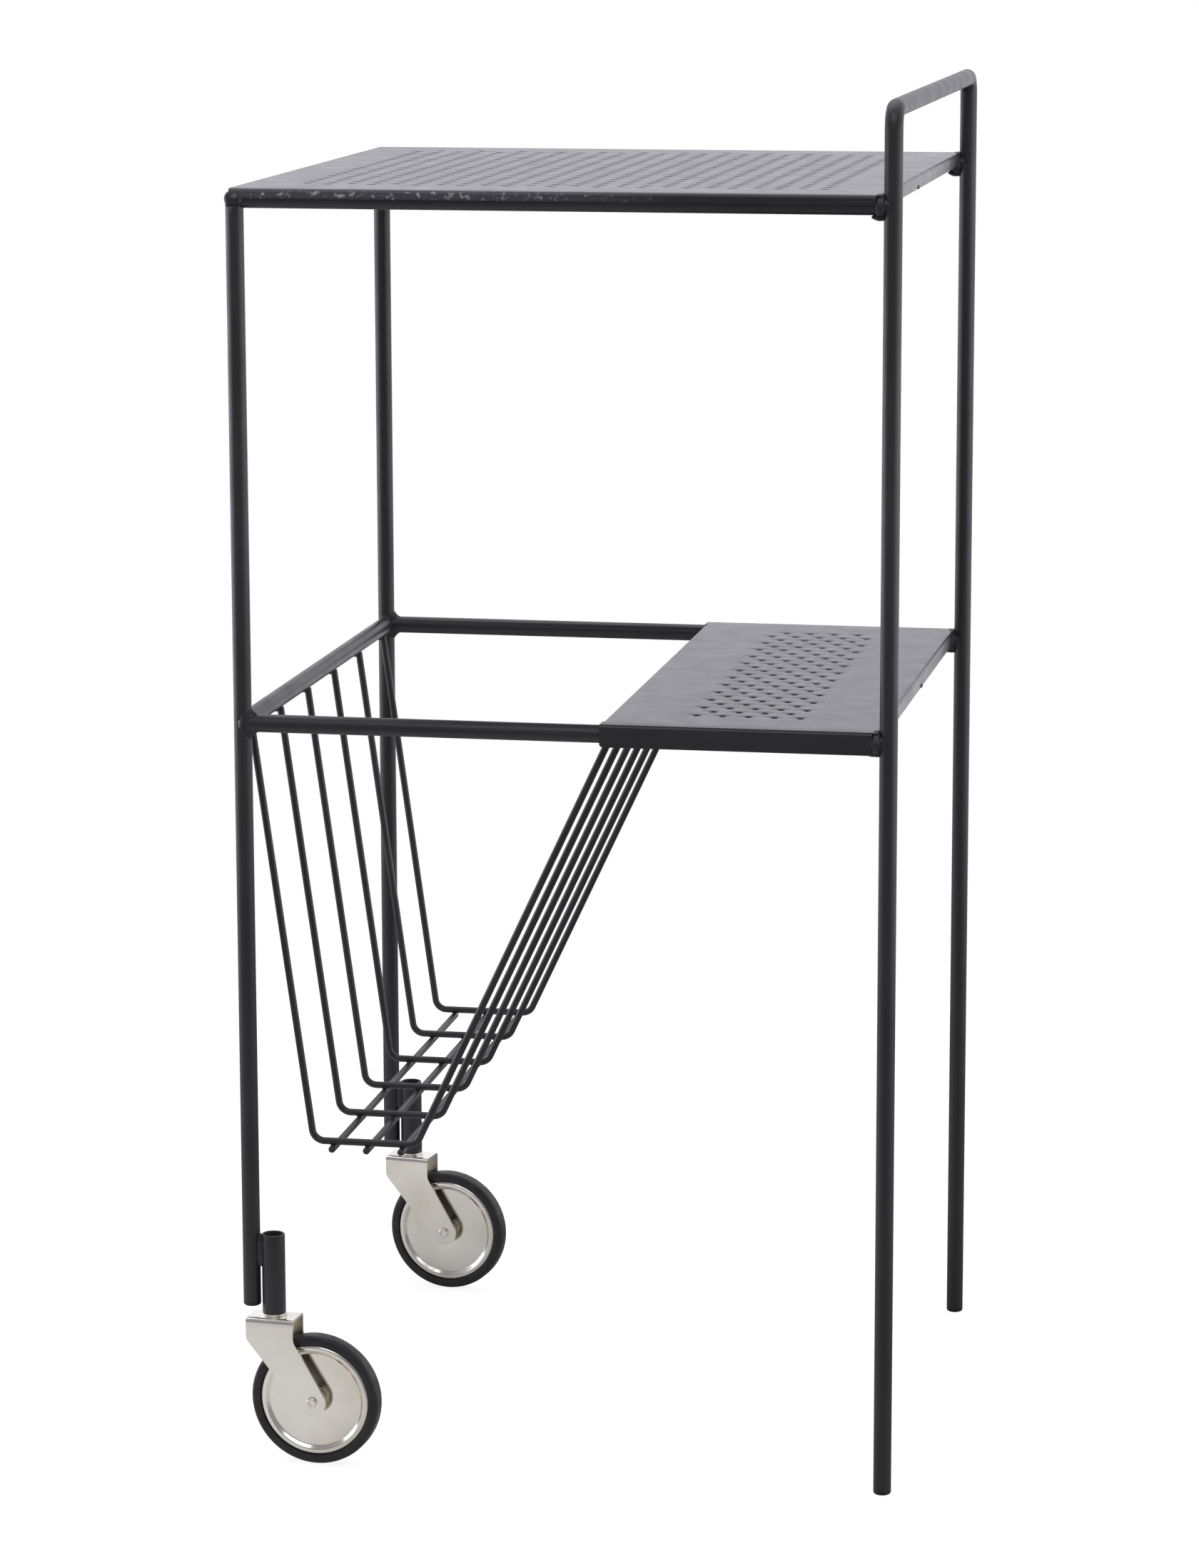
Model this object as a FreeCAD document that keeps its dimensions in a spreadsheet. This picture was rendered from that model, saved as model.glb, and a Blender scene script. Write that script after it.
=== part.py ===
import FreeCAD, Part
import math
import os
import re
import Sketcher
from FreeCAD import Placement, Rotation, Vector

# Storage trolley: a tube frame with two casters on its left legs and a handle loop for its right legs, a
# perforated top plate, a perforated half shelf and a wire basket beside that shelf.
# X runs from the caster side to the handle side, -Y is the front and Z is up. The origin is on the floor,
# midway between the four legs. Lengths are in millimetres and angles in degrees.

SIZES = {
    # Tube frame, measured between tube axes
    "tube_diameter": 10.0,
    "tube_wall": 1.2,
    "frame_length": 360.0,
    "frame_depth": 350.0,
    "handle_height": 765.0,
    "handle_bend": 10.0,
    "handle_rise": 45.0,
    "middle_height": 425.0,
    "left_leg_bottom": 90.0,
    "rail_end": 2.5,
    "rail_cap": 3.0,
    "rail_cap_round": 2.6,
    # Fillet welds at the tube joints
    "weld_gap": 0.05,
    "weld_reach": 3.3,
    "weld_width": 7.0,
    # Plugs in the ends of the legs
    "plug_rim": 2.5,
    "plug_round": 1.6,
    "plug_depth": 12.0,
    # Folded sheets
    "sheet_thickness": 1.0,
    "sheet_gap": 0.1,
    "sheet_bend": 2.0,
    "top_flange": 5.5,
    "shelf_flange": 12.5,
    "side_flange": 7.5,
    "flange_corner": 2.0,
    "flange_relief": 3.4,
    "top_overhang": 4.5,
    "top_corner": 8.5,
    "shelf_length": 153.1,
    # Perforation in a triangular grid
    "hole_width": 4.0,
    "hole_pitch": 14.4,
    "hole_margin": 36.0,
    "shelf_hole_margin": 45.0,
    # Wire basket
    "wire_diameter": 4.0,
    "wire_bend": 7.0,
    "wire_end_margin": 15.0,
    "wire_rail_inset": 0.5,
    "wire_shelf_inset": 7.5,
    "basket_drop": 241.3,
    "basket_floor": 59.2,
    "basket_floor_offset": 33.4,
    "runner_offset": 11.1,
    "runner_pitch": 19.9,
    "runner_overhang": 5.0,
    "wire_weld": 1.4,
    # Caster sockets and stems
    "socket_diameter": 13.2,
    "socket_wall": 1.2,
    "socket_length": 46.0,
    "socket_gap": 1.1,
    "socket_weld": 19.0,
    "socket_weld_width": 6.0,
    "stem_recess": 7.0,
    "collar_diameter": 14.0,
    "collar_thickness": 1.1,
    "neck_diameter": 8.0,
    "stem_head": 2.0,
    "stem_head_diameter": 12.0,
    "washer_diameter": 15.0,
    "washer_thickness": 0.6,
    "swivel_gap": 0.1,
    "running_gap": 0.05,
    # Forks and axles
    "front_caster_angle": -4.6,
    "rear_caster_angle": -8.1,
    "caster_trail": 24.7,
    "fork_rise": 47.0,
    "fork_length": 28.0,
    "fork_width": 19.0,
    "fork_sheet": 1.5,
    "fork_bend": 2.5,
    "fork_shoulder": 12.5,
    "fork_shoulder_round": 6.0,
    "fork_hub": 8.0,
    "axle_diameter": 4.0,
    "axle_head_diameter": 6.0,
    "axle_head": 2.0,
    "axle_tail": 1.2,
    "nut_width": 7.0,
    "nut_thickness": 3.2,
    # Wheels
    "wheel_diameter": 75.0,
    "tyre_width": 11.0,
    "tyre_round": 2.6,
    "tyre_tongue": 3.4,
    "hub_diameter": 9.0,
    "hub_gap": 0.3,
    "disc_diameter": 64.5,
    "disc_sheet": 1.0,
    "disc_rim": 3.6,
    "disc_step": 1.1,
    "disc_step_run": 1.6,
    "disc_sink": 0.5,
    # Length by which a cutting body runs past what it cuts
    "overrun": 20.0,
}

# Places worked out from the sizes, each written once as a formula
PLACES = {
    "tube_radius": "tube_diameter / 2",
    "bore_radius": "tube_radius - tube_wall",
    "leg_x": "frame_length / 2",
    "leg_y": "frame_depth / 2",
    "top_height": "handle_height - handle_rise",
    "top_rail_z": "top_height - sheet_thickness - sheet_gap - tube_radius",
    "shelf_height": "middle_height + tube_radius + sheet_gap + sheet_thickness",
    "sheet_right": "leg_x - tube_radius - sheet_gap",
    "sheet_side": "leg_y + tube_radius + sheet_gap + sheet_thickness",
    "side_flange_end": "leg_y - tube_radius - sheet_gap",
    "top_left": "-leg_x - top_overhang",
    "shelf_left": "sheet_right - shelf_length",
    "shelf_under": "shelf_height - sheet_thickness",
    "wire_radius": "wire_diameter / 2",
    "basket_z": "middle_height - basket_drop",
    "basket_left": "basket_floor_offset - leg_x",
    "basket_right": "basket_left + basket_floor",
    "wire_top_x": "wire_rail_inset - leg_x",
    "wire_lean": "(basket_left - wire_top_x) / basket_drop",
    "wire_end_x": "shelf_left + wire_shelf_inset",
    "wire_slope": "(wire_end_x - basket_right) / (shelf_height - basket_z)",
    "socket_radius": "socket_diameter / 2",
    "socket_bore": "socket_radius - socket_wall",
    "socket_x": "tube_radius + socket_gap + socket_radius - leg_x",
    "wheel_radius": "wheel_diameter / 2",
    "fork_top": "wheel_radius + fork_rise",
    "fork_under": "fork_top - fork_sheet",
    "fork_side": "fork_width / 2",
    "neck_radius": "neck_diameter / 2",
    "washer_top": "fork_top + washer_thickness",
    "collar_bottom": "washer_top + swivel_gap",
    "collar_top": "collar_bottom + collar_thickness",
    "socket_top": "collar_top + socket_length",
    "stem_head_top": "fork_under - swivel_gap",
    "axle_radius": "axle_diameter / 2",
    "hub_radius": "hub_diameter / 2",
    "hub_end": "fork_side - fork_sheet - hub_gap",
    "rim_radius": "disc_diameter / 2",
    "rim_face": "tyre_width / 2 - disc_sink",
    "web_face": "rim_face - disc_step",
    "step_outside": "rim_radius - disc_rim",
    "step_inside": "step_outside - disc_step_run",
}

WIRES = 6
RUNNERS = 3
NUT_SIDES = 6

doc = FreeCAD.newDocument("storage_trolley")
sheet = doc.addObject("Spreadsheet::Sheet", "Sizes")
for row, (alias, value) in enumerate(SIZES.items(), start=1):
    sheet.set(f"A{row}", alias)
    sheet.set(f"B{row}", str(value))
    sheet.setAlias(f"B{row}", alias)
doc.recompute()

WORD = re.compile(r"[a-z][a-z_]*")
ALONG = {
    "X": Rotation(Vector(0, 1, 0), 90),
    "Y": Rotation(Vector(1, 0, 0), -90),
    "Z": Rotation(),
}
UPRIGHT_ALONG_X = Rotation(Vector(1, 0, 0), 90)
UPRIGHT_ALONG_Y = Rotation(Vector(1, 1, 1), 120)
EIGHTH_TURN = 45
FULL_TURN = 360


def formula(text):
    """Spell out a formula of named sizes and places in the sheet's own terms."""
    def spell(word):
        if word[0] in SIZES:
            return f"Sizes.{word[0]}"
        if word[0] in PLACES:
            return f"({formula(PLACES[word[0]])})"
        return word[0]
    return WORD.sub(spell, text)


def measure(text):
    """Value of a formula at the sizes now in the sheet."""
    return float(sheet.evalExpression(formula(text)))


def bind(item, **formulas):
    """Tie properties of an object to formulas."""
    for name, text in formulas.items():
        item.setExpression(name, formula(text))
    return item


def place(item, x="0", y="0", z="0"):
    """Tie the place of an object to formulas."""
    for axis, text in zip("xyz", (x, y, z)):
        item.setExpression(f"Placement.Base.{axis}", formula(text))
    return item


def cylinder(label, radius, along, start, length):
    """Round bar from the start point along one axis."""
    bar = doc.addObject("Part::Cylinder", label)
    bar.Placement = Placement(Vector(), ALONG[along])
    bind(bar, Radius=radius, Height=length)
    return place(bar, *start)


def box(label, low, sizes):
    """Block from its low corner."""
    block = doc.addObject("Part::Box", label)
    bind(block, Length=sizes[0], Width=sizes[1], Height=sizes[2])
    return place(block, *low)


def joined(label, items):
    """Union of several objects."""
    union = doc.addObject("Part::MultiFuse", label)
    union.Shapes = items
    return union


def cut(label, base, *tools):
    """Base less the tools."""
    result = doc.addObject("Part::Cut", label)
    result.Base = base
    result.Tool = tools[0] if len(tools) == 1 else joined(label + "_tools", list(tools))
    return result


def group(label, items):
    """Several separate solids under one name."""
    bundle = doc.addObject("Part::Compound", label)
    bundle.Links = items
    return bundle


def clearance(label, along, start, length):
    """Space that a welded tube keeps free for itself in the pieces that meet it."""
    return cylinder(label + "_clearance", "tube_radius + weld_gap", along, start, length)


def tube(label, along, start, length, *met):
    """Frame tube, its ends saddled to the tubes that it meets."""
    outside = cylinder(label + "_outside", "tube_radius", along, start, length)
    bore = cylinder(label + "_bore", "bore_radius", along, start, length)
    if not met:
        return cut(label, outside, bore)
    return cut(label, cut(label + "_straight", outside, bore), *met)


def pin_point(sketch, piece, end, across, up):
    """Hold one point of a sketch at two formulas, or on an axis where a formula is zero."""
    for kind, text, axis in (("DistanceX", across, -2), ("DistanceY", up, -1)):
        if text == "0":
            sketch.addConstraint(Sketcher.Constraint("PointOnObject", piece, end, axis))
        else:
            held = Sketcher.Constraint(kind, -1, 1, piece, end, measure(text))
            sketch.setExpression(f"Constraints[{sketch.addConstraint(held)}]", formula(text))


def corner(across, up):
    """Sketch point at two formulas."""
    return Vector(measure(across), measure(up), 0)


def attached_sketch(body, name, role):
    """Empty sketch on one of the body's own origin planes."""
    sketch = body.newObject("Sketcher::SketchObject", name)
    plane = [item for item in body.Origin.OriginFeatures if item.Role == role][0]
    sketch.AttachmentSupport = [(plane, "")]
    sketch.MapMode = "FlatFace"
    return sketch


def polygon_sketch(body, name, role, corners):
    """Closed outline through corners that are pairs of formulas."""
    sketch = attached_sketch(body, name, role)
    points = [corner(*pair) for pair in corners]
    for point, following in zip(points, points[1:] + points[:1]):
        sketch.addGeometry(Part.LineSegment(point, following), False)
    for side, pair in enumerate(corners):
        before = (side - 1) % len(corners)
        sketch.addConstraint(Sketcher.Constraint("Coincident", before, 2, side, 1))
        pin_point(sketch, side, 1, *pair)
    return sketch


def circle_sketch(body, name, role, radius, across="0", up="0"):
    """One circle on an origin plane."""
    sketch = attached_sketch(body, name, role)
    ring = Part.Circle(corner(across, up), Vector(0, 0, 1), measure(radius))
    sketch.addGeometry(ring, False)
    pin_point(sketch, 0, 3, across, up)
    held = sketch.addConstraint(Sketcher.Constraint("Radius", 0, measure(radius)))
    sketch.setExpression(f"Constraints[{held}]", formula(radius))
    return sketch


def path_sketch(label, upright, corners, bend):
    """Path of a bent tube or wire: straight runs through the corners, joined by tangent arcs."""
    sketch = doc.addObject("Sketcher::SketchObject", label + "_path")
    sketch.Placement = Placement(Vector(), upright)
    points = [corner(*pair) for pair in corners]
    radius = measure(bend)
    starts, ends, arcs = [points[0]], [], []
    for before, here, after in zip(points, points[1:], points[2:]):
        back = (before - here).normalize()
        ahead = (after - here).normalize()
        half_angle = back.getAngle(ahead) / 2
        reach = radius / math.tan(half_angle)
        bisector = (back + ahead).normalize()
        nearest = here + bisector * (radius / math.sin(half_angle) - radius)
        ends.append(here + back * reach)
        starts.append(here + ahead * reach)
        arcs.append(Part.Arc(ends[-1], nearest, starts[-1]))
    ends.append(points[-1])
    for run, (start, end) in enumerate(zip(starts, ends)):
        sketch.addGeometry(Part.LineSegment(start, end), False)
        if run < len(arcs):
            sketch.addGeometry(arcs[run], False)
    last = 2 * len(arcs)
    for bend_number, end in enumerate(ends[:-1]):
        line, arc, following = 2 * bend_number, 2 * bend_number + 1, 2 * bend_number + 2
        first = 1 if sketch.getPoint(arc, 1).isEqual(end, measure("weld_gap")) else 2
        sketch.addConstraint(Sketcher.Constraint("Tangent", line, 2, arc, first))
        sketch.addConstraint(Sketcher.Constraint("Tangent", arc, 3 - first, following, 1))
        held = sketch.addConstraint(Sketcher.Constraint("Radius", arc, radius))
        sketch.setExpression(f"Constraints[{held}]", formula(bend))
        point = sketch.addGeometry(Part.Point(points[bend_number + 1]), True)
        pin_point(sketch, point, 1, *corners[bend_number + 1])
        sketch.addConstraint(Sketcher.Constraint("PointOnObject", point, 1, line))
        sketch.addConstraint(Sketcher.Constraint("PointOnObject", point, 1, following))
    pin_point(sketch, 0, 1, *corners[0])
    pin_point(sketch, last, 2, *corners[-1])
    return sketch, last + 1, upright.multVec(points[1] - points[0])


def bent_bar(label, path, radius, start):
    """Round section carried along a path."""
    sketch, runs, heading = path
    section = doc.addObject("Part::Circle", label + "_section")
    section.Placement = Placement(Vector(), Rotation(Vector(0, 0, 1), heading))
    bind(section, Radius=radius)
    place(section, *start)
    bar = doc.addObject("Part::Sweep", label)
    bar.Sections = [section]
    bar.Spine = (sketch, [f"Edge{run + 1}" for run in range(runs)])
    bar.Solid = True
    return bar


def revolved(label, corners):
    """Body turned about its own Z axis from an outline of radius and height."""
    body = doc.addObject("PartDesign::Body", label)
    outline = polygon_sketch(body, label + "_outline", "XZ_Plane", corners)
    turned = body.newObject("PartDesign::Revolution", label + "_turned")
    turned.Profile = outline
    turned.ReferenceAxis = (outline, ["V_Axis"])
    turned.Angle = FULL_TURN
    return body


def round_edges(body, name, radius, wanted):
    """Round the edges of a body that pass a test."""
    doc.recompute()
    base = body.Tip
    names = [f"Edge{number}" for number, edge in enumerate(base.Shape.Edges, start=1) if wanted(edge)]
    fillet = body.newObject("PartDesign::Fillet", name)
    fillet.Base = (base, names)
    bind(fillet, Radius=radius)


def near(value, text):
    """Whether a coordinate lies at a formula's value."""
    return math.isclose(value, measure(text), abs_tol=measure("weld_gap"))


def round_rim(body, name, round_size, radius, height=None):
    """Round the circular edges of one radius, at one height or at any height."""
    def wanted(edge):
        middle = edge.CenterOfMass
        level = height is None or near(middle.z, height)
        return level and isinstance(edge.Curve, Part.Circle) and near(edge.Curve.Radius, radius)
    round_edges(body, name, round_size, wanted)


# Handle loop: front right leg, handle bar and rear right leg in one bent tube
loop_path = path_sketch("handle_loop", UPRIGHT_ALONG_Y, [
    ("-leg_y", "plug_rim"),
    ("-leg_y", "handle_height"),
    ("leg_y", "handle_height"),
    ("leg_y", "plug_rim"),
], "handle_bend")
place(loop_path[0], x="leg_x")
loop_start = ("leg_x", "-leg_y", "plug_rim")
handle_loop = cut(
    "handle_loop",
    bent_bar("handle_loop_outside", loop_path, "tube_radius", loop_start),
    bent_bar("handle_loop_bore", loop_path, "bore_radius", loop_start),
)
subparts = [handle_loop]

# Spaces of the tubes that others are welded to
SIDES = {"front": "-", "rear": ""}
whole_leg = "handle_height"
whole_depth = "frame_depth + 2 * overrun"
whole_length = "frame_length"
left_leg_space = {}
right_leg_space = {}
top_rail_space = {}
middle_rail_space = {}
for side, sign in SIDES.items():
    row_y = f"{sign}leg_y"
    left_leg_space[side] = clearance(f"{side}_left_leg", "Z", ("-leg_x", row_y, "0"), whole_leg)
    right_leg_space[side] = clearance(f"{side}_right_leg", "Z", ("leg_x", row_y, "0"), whole_leg)
    top_rail_space[side] = clearance(
        f"top_{side}_rail", "X", ("-leg_x", row_y, "top_rail_z"), whole_length)
    middle_rail_space[side] = clearance(
        f"middle_{side}_rail", "X", ("-leg_x", row_y, "middle_height"), whole_length)
side_start = "-leg_y - overrun"
top_rail_space["left"] = clearance("top_left_rail", "Y", ("-leg_x", side_start, "top_rail_z"), whole_depth)
middle_rail_space["left"] = clearance(
    "middle_left_rail", "Y", ("-leg_x", side_start, "middle_height"), whole_depth)

# Left legs, saddled under the upper left rail, and the long rails at both levels
for side, sign in SIDES.items():
    row_y = f"{sign}leg_y"
    subparts.append(tube(
        f"{side}_left_leg", "Z", ("-leg_x", row_y, "left_leg_bottom + plug_rim"),
        "top_rail_z - left_leg_bottom - plug_rim", top_rail_space["left"]))
    subparts.append(tube(
        f"top_{side}_rail", "X", ("-leg_x", row_y, "top_rail_z"), whole_length,
        top_rail_space["left"], right_leg_space[side]))
    subparts.append(tube(
        f"middle_{side}_rail", "X", ("-leg_x", row_y, "middle_height"), whole_length,
        left_leg_space[side], right_leg_space[side]))

# Left rails: the upper one lies across both leg tops and has rounded end caps
subparts.append(tube(
    "top_left_rail", "Y", ("-leg_x", "-leg_y - rail_end", "top_rail_z"), "frame_depth + 2 * rail_end"))
subparts.append(tube(
    "middle_left_rail", "Y", ("-leg_x", "-leg_y", "middle_height"), "frame_depth",
    left_leg_space["front"], left_leg_space["rear"]))
for side, sign in SIDES.items():
    cap = revolved(f"{side}_rail_cap", [
        ("0", "0"),
        ("tube_radius", "0"),
        ("tube_radius", "rail_cap"),
        ("0", "rail_cap"),
    ])
    round_rim(cap, f"{side}_rail_cap_round", "rail_cap_round", "tube_radius", "rail_cap")
    cap.Placement = Placement(Vector(), Rotation(Vector(1, 0, 0), 90 if sign else -90))
    place(cap, "-leg_x", f"{sign}(leg_y + rail_end)", "top_rail_z")
    subparts.append(cap)

# Plugs in the feet of the handle loop and in the left legs
PLUGS = {
    "front_right_foot": ("leg_x", "-leg_y", "0"),
    "rear_right_foot": ("leg_x", "leg_y", "0"),
    "front_left_plug": ("-leg_x", "-leg_y", "left_leg_bottom"),
    "rear_left_plug": ("-leg_x", "leg_y", "left_leg_bottom"),
}
for label, spot in PLUGS.items():
    plug = revolved(label, [
        ("0", "0"),
        ("tube_radius", "0"),
        ("tube_radius", "plug_rim"),
        ("bore_radius - weld_gap", "plug_rim"),
        ("bore_radius - weld_gap", "plug_rim + plug_depth"),
        ("0", "plug_rim + plug_depth"),
    ])
    round_rim(plug, label + "_round", "plug_round", "tube_radius", "0")
    place(plug, *spot)
    subparts.append(plug)


def bead(label, along, spot, *met):
    """Fillet weld: a bar with a square section set on edge in the corner of the tubes that it joins."""
    bar = doc.addObject("Part::Box", label + "_bar")
    bar.Placement = Placement(Vector(), ALONG[along] * Rotation(Vector(0, 0, 1), EIGHTH_TURN))
    bind(bar, Length="weld_reach * sqrt(2)", Width="weld_reach * sqrt(2)", Height="weld_width")
    x, y, z = spot
    if along == "Y":
        place(bar, x, f"{y} - weld_width / 2", f"{z} + weld_reach")
    else:
        place(bar, f"{x} - weld_width / 2", f"{y} - weld_reach", z)
    return cut(label, bar, *met)


# Welds at the upper and the middle corners: under each long rail, under each left rail end, and at the middle
# level on top of them as well where no shelf lies
LEVELS = {
    "top": ("top_rail_z", top_rail_space, ("-",)),
    "middle": ("middle_height", middle_rail_space, ("-", "+")),
}
for level, (rail_z, rail_space, left_signs) in LEVELS.items():
    beads = []
    for side, sign in SIDES.items():
        row_y = f"{sign}leg_y"
        inner_y = f"{sign}(leg_y - tube_radius)"
        left_met = (left_leg_space[side], rail_space[side], rail_space["left"])
        for upper in left_signs:
            where = f"{level}_{side}_{'lower' if upper == '-' else 'upper'}"
            bead_z = f"{rail_z} {upper} tube_radius"
            beads.append(bead(where + "_rail_weld", "Y", ("tube_radius - leg_x", row_y, bead_z), *left_met))
            beads.append(bead(where + "_left_weld", "X", ("-leg_x", inner_y, bead_z), *left_met))
        beads.append(bead(
            f"{level}_{side}_right_weld", "Y", ("leg_x - tube_radius", row_y, f"{rail_z} - tube_radius"),
            right_leg_space[side], rail_space[side]))
    subparts.append(group(f"{level}_corner_welds", beads))


def hole_outline(x, y, radius):
    """Round punched hole, wound against the outline of its sheet."""
    return Part.Wire(Part.makeCircle(radius, Vector(x, y, 0), Vector(0, 0, -1)))


def hole_rows(span_across, span_along, first_is_long):
    """Places of a triangular grid about the origin: rows a step apart, every other one half a pitch aside."""
    pitch = measure("hole_pitch")
    step = pitch * math.sqrt(3) / 2
    rows = int(span_across / step) + 1
    long_row = int(span_along / pitch) + 1
    spots = []
    for number in range(rows):
        count = long_row if (number % 2 == 0) == first_is_long else long_row - 1
        across = (number - (rows - 1) / 2) * step
        spots += [(across, (hole - (count - 1) / 2) * pitch) for hole in range(count)]
    return spots


def fold(length, depth, rounded_ends):
    """Folded-down edge along +X: its bend starts at the origin and turns down towards -Y."""
    outer = measure("sheet_bend")
    inner = outer - measure("sheet_thickness")
    slant = math.sqrt(0.5)
    centre = Vector(0, 0, -outer)
    outline = Part.Wire([
        Part.Arc(Vector(), centre + Vector(0, -outer * slant, outer * slant),
                 centre + Vector(0, -outer, 0)).toShape(),
        Part.makeLine(centre + Vector(0, -outer, 0), Vector(0, -outer, -depth)),
        Part.makeLine(Vector(0, -outer, -depth), Vector(0, -inner, -depth)),
        Part.makeLine(Vector(0, -inner, -depth), centre + Vector(0, -inner, 0)),
        Part.Arc(centre + Vector(0, -inner, 0), centre + Vector(0, -inner * slant, inner * slant),
                 centre + Vector(0, 0, inner)).toShape(),
        Part.makeLine(centre + Vector(0, 0, inner), Vector()),
    ])
    strip = Part.Face(outline).extrude(Vector(length, 0, 0))
    if rounded_ends:
        corners = [edge for edge in strip.Edges if math.isclose(edge.Length, outer - inner)
                   and math.isclose(edge.CenterOfMass.z, -depth)]
        strip = strip.makeFillet(measure("flange_corner"), corners)
    return strip


def folded_sheet(label, left, top, flange, flange_start, left_lip, spots):
    """Perforated sheet: front and rear edges folded over the rails, sides folded down between them."""
    bend = measure("sheet_bend")
    low_x, high_x = measure(left), measure("sheet_right")
    half_y = measure("sheet_side")
    start_x = measure(flange_start)
    end_x = high_x - measure("flange_relief")
    lip_end = measure("side_flange_end")
    rail_front = measure("leg_y + tube_radius")
    flat_y = half_y - bend
    flat_left = low_x + bend if left_lip else low_x
    flat_right = high_x - bend
    lip_side = [(flat_left, lip_end), (low_x, lip_end)]
    plain_side = [(low_x, rail_front), (start_x, rail_front)]
    fold_side = [(start_x, flat_y), (end_x, flat_y), (end_x, rail_front), (high_x, rail_front)]
    half = (lip_side if left_lip else plain_side) + fold_side + [(high_x, lip_end), (flat_right, lip_end)]
    outline = [(x, -y) for x, y in half] + [(x, y) for x, y in reversed(half)]
    corners = [Vector(x, y, 0) for x, y in outline]
    middle = Vector((low_x + high_x) / 2, 0, 0)
    holes = [hole_outline(middle.x + x, y, measure("hole_width") / 2) for x, y in spots]
    flat = Part.Face([Part.makePolygon(corners + corners[:1])] + holes)
    thickness = Vector(0, 0, -measure("sheet_thickness"))
    strips = []
    for turn, edge in ((0, start_x), (180, -end_x)):
        strip = fold(end_x - start_x, measure(flange), True)
        strip.translate(Vector(edge, -flat_y, 0))
        strips.append(strip.rotated(Vector(), Vector(0, 0, 1), turn))
    sides = ((90, flat_right), (-90, -flat_left)) if left_lip else ((90, flat_right),)
    for turn, reach in sides:
        strip = fold(2 * lip_end, measure("side_flange"), True)
        strip.translate(Vector(-lip_end, -reach, 0))
        strips.append(strip.rotated(Vector(), Vector(0, 0, 1), turn))
    sheet_part = doc.addObject("Part::Feature", label)
    sheet_part.Shape = flat.extrude(thickness).multiFuse(strips).Solids[0]
    return place(sheet_part, z=top)


# Top plate: hole columns stand along X, the leftmost one the shorter
top_spots = hole_rows(
    measure("sheet_right - top_left - 2 * hole_margin"), measure("2 * sheet_side - 2 * hole_margin"), False)
subparts.append(folded_sheet(
    "top_plate", "top_left", "top_height", "top_flange", "top_left + top_corner", False, top_spots))

# Half shelf: hole rows run along Y from the front, the foremost one the longer
shelf_spots = hole_rows(
    measure("2 * sheet_side - 2 * hole_margin"), measure("shelf_length - 2 * shelf_hole_margin"), True)
subparts.append(folded_sheet(
    "half_shelf", "shelf_left", "shelf_height", "shelf_flange", "shelf_left", True,
    [(along, across) for across, along in shelf_spots]))

# Basket wires: bent once, cut to the middle left rail and to the underside of the shelf, then set in a row
wire_path = path_sketch("basket_wire", UPRIGHT_ALONG_X, [
    ("wire_top_x", "middle_height"),
    ("basket_left", "basket_z"),
    ("basket_right", "basket_z"),
    ("wire_end_x", "shelf_height"),
], "wire_bend")
wire_start = ("wire_top_x", "0", "middle_height")
wire_blank = bent_bar("basket_wire_blank", wire_path, "wire_radius", wire_start)
wire_space = bent_bar("basket_wire_clearance", wire_path, "wire_radius + weld_gap", wire_start)
shelf_space = box(
    "shelf_clearance",
    ("shelf_left - overrun", "-overrun", "shelf_under - weld_gap"),
    ("shelf_length + overrun", "2 * overrun", "overrun"))
wire_tools = joined("basket_wire_tools", [middle_rail_space["left"], shelf_space])

# Collars of weld round the upper ends of the wires
WELD_ENDS = {
    "basket_rail_welds": ("wire_top_x + wire_lean * tube_radius", "middle_height - tube_radius", (
        wire_space, middle_rail_space["left"])),
    "basket_shelf_welds": ("wire_end_x - wire_slope * sheet_thickness", "shelf_under - weld_gap", (
        wire_space, shelf_space)),
}
wire_weld_tools = {}
wire_weld_blanks = {}
for label, (spot_x, spot_z, met) in WELD_ENDS.items():
    collar = doc.addObject("Part::Cone", label + "_blank")
    bind(collar, Radius1="wire_radius + weld_gap", Radius2="wire_radius + wire_weld", Height="wire_weld")
    place(collar, spot_x, "0", f"{spot_z} - wire_weld")
    wire_weld_blanks[label] = collar
    wire_weld_tools[label] = joined(label + "_tools", list(met))

wire_welds = {label: [] for label in WELD_ENDS}
for number in range(WIRES):
    wire_y = f"({number} / {WIRES - 1} - 1 / 2) * (frame_depth - 2 * wire_end_margin)"
    subparts.append(place(cut(f"basket_wire_{number + 1}", wire_blank, wire_tools), y=wire_y))
    for label in WELD_ENDS:
        collar = cut(f"{label}_{number + 1}", wire_weld_blanks[label], wire_weld_tools[label])
        wire_welds[label].append(place(collar, y=wire_y))
for label, collars in wire_welds.items():
    subparts.append(group(label, collars))

# Straight runner wires under the basket floor, with round ends
runner_z = "basket_z - wire_diameter - weld_gap"
runner_end = "leg_y - wire_end_margin + runner_overhang - wire_radius"
for number in range(RUNNERS):
    label = f"basket_runner_{number + 1}"
    runner_x = f"basket_left + runner_offset + {number} * runner_pitch"
    bar = cylinder(
        label + "_bar", "wire_radius", "Y", (runner_x, f"-({runner_end})", runner_z), f"2 * ({runner_end})")
    ends = []
    for side, sign in SIDES.items():
        ball = bind(doc.addObject("Part::Sphere", f"{label}_{side}_end"), Radius="wire_radius")
        ends.append(place(ball, runner_x, f"{sign}({runner_end})", runner_z))
    subparts.append(joined(label, [bar] + ends))


def drilled(body, name, role, radius, across="0", up="0"):
    """Cut a round hole right through a body on both sides of an origin plane."""
    hole = body.newObject("PartDesign::Pocket", name)
    hole.Profile = circle_sketch(body, name + "_circle", role, radius, across, up)
    hole.SideType = "Symmetric"
    bind(hole, Length="2 * (fork_top + overrun)")


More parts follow.
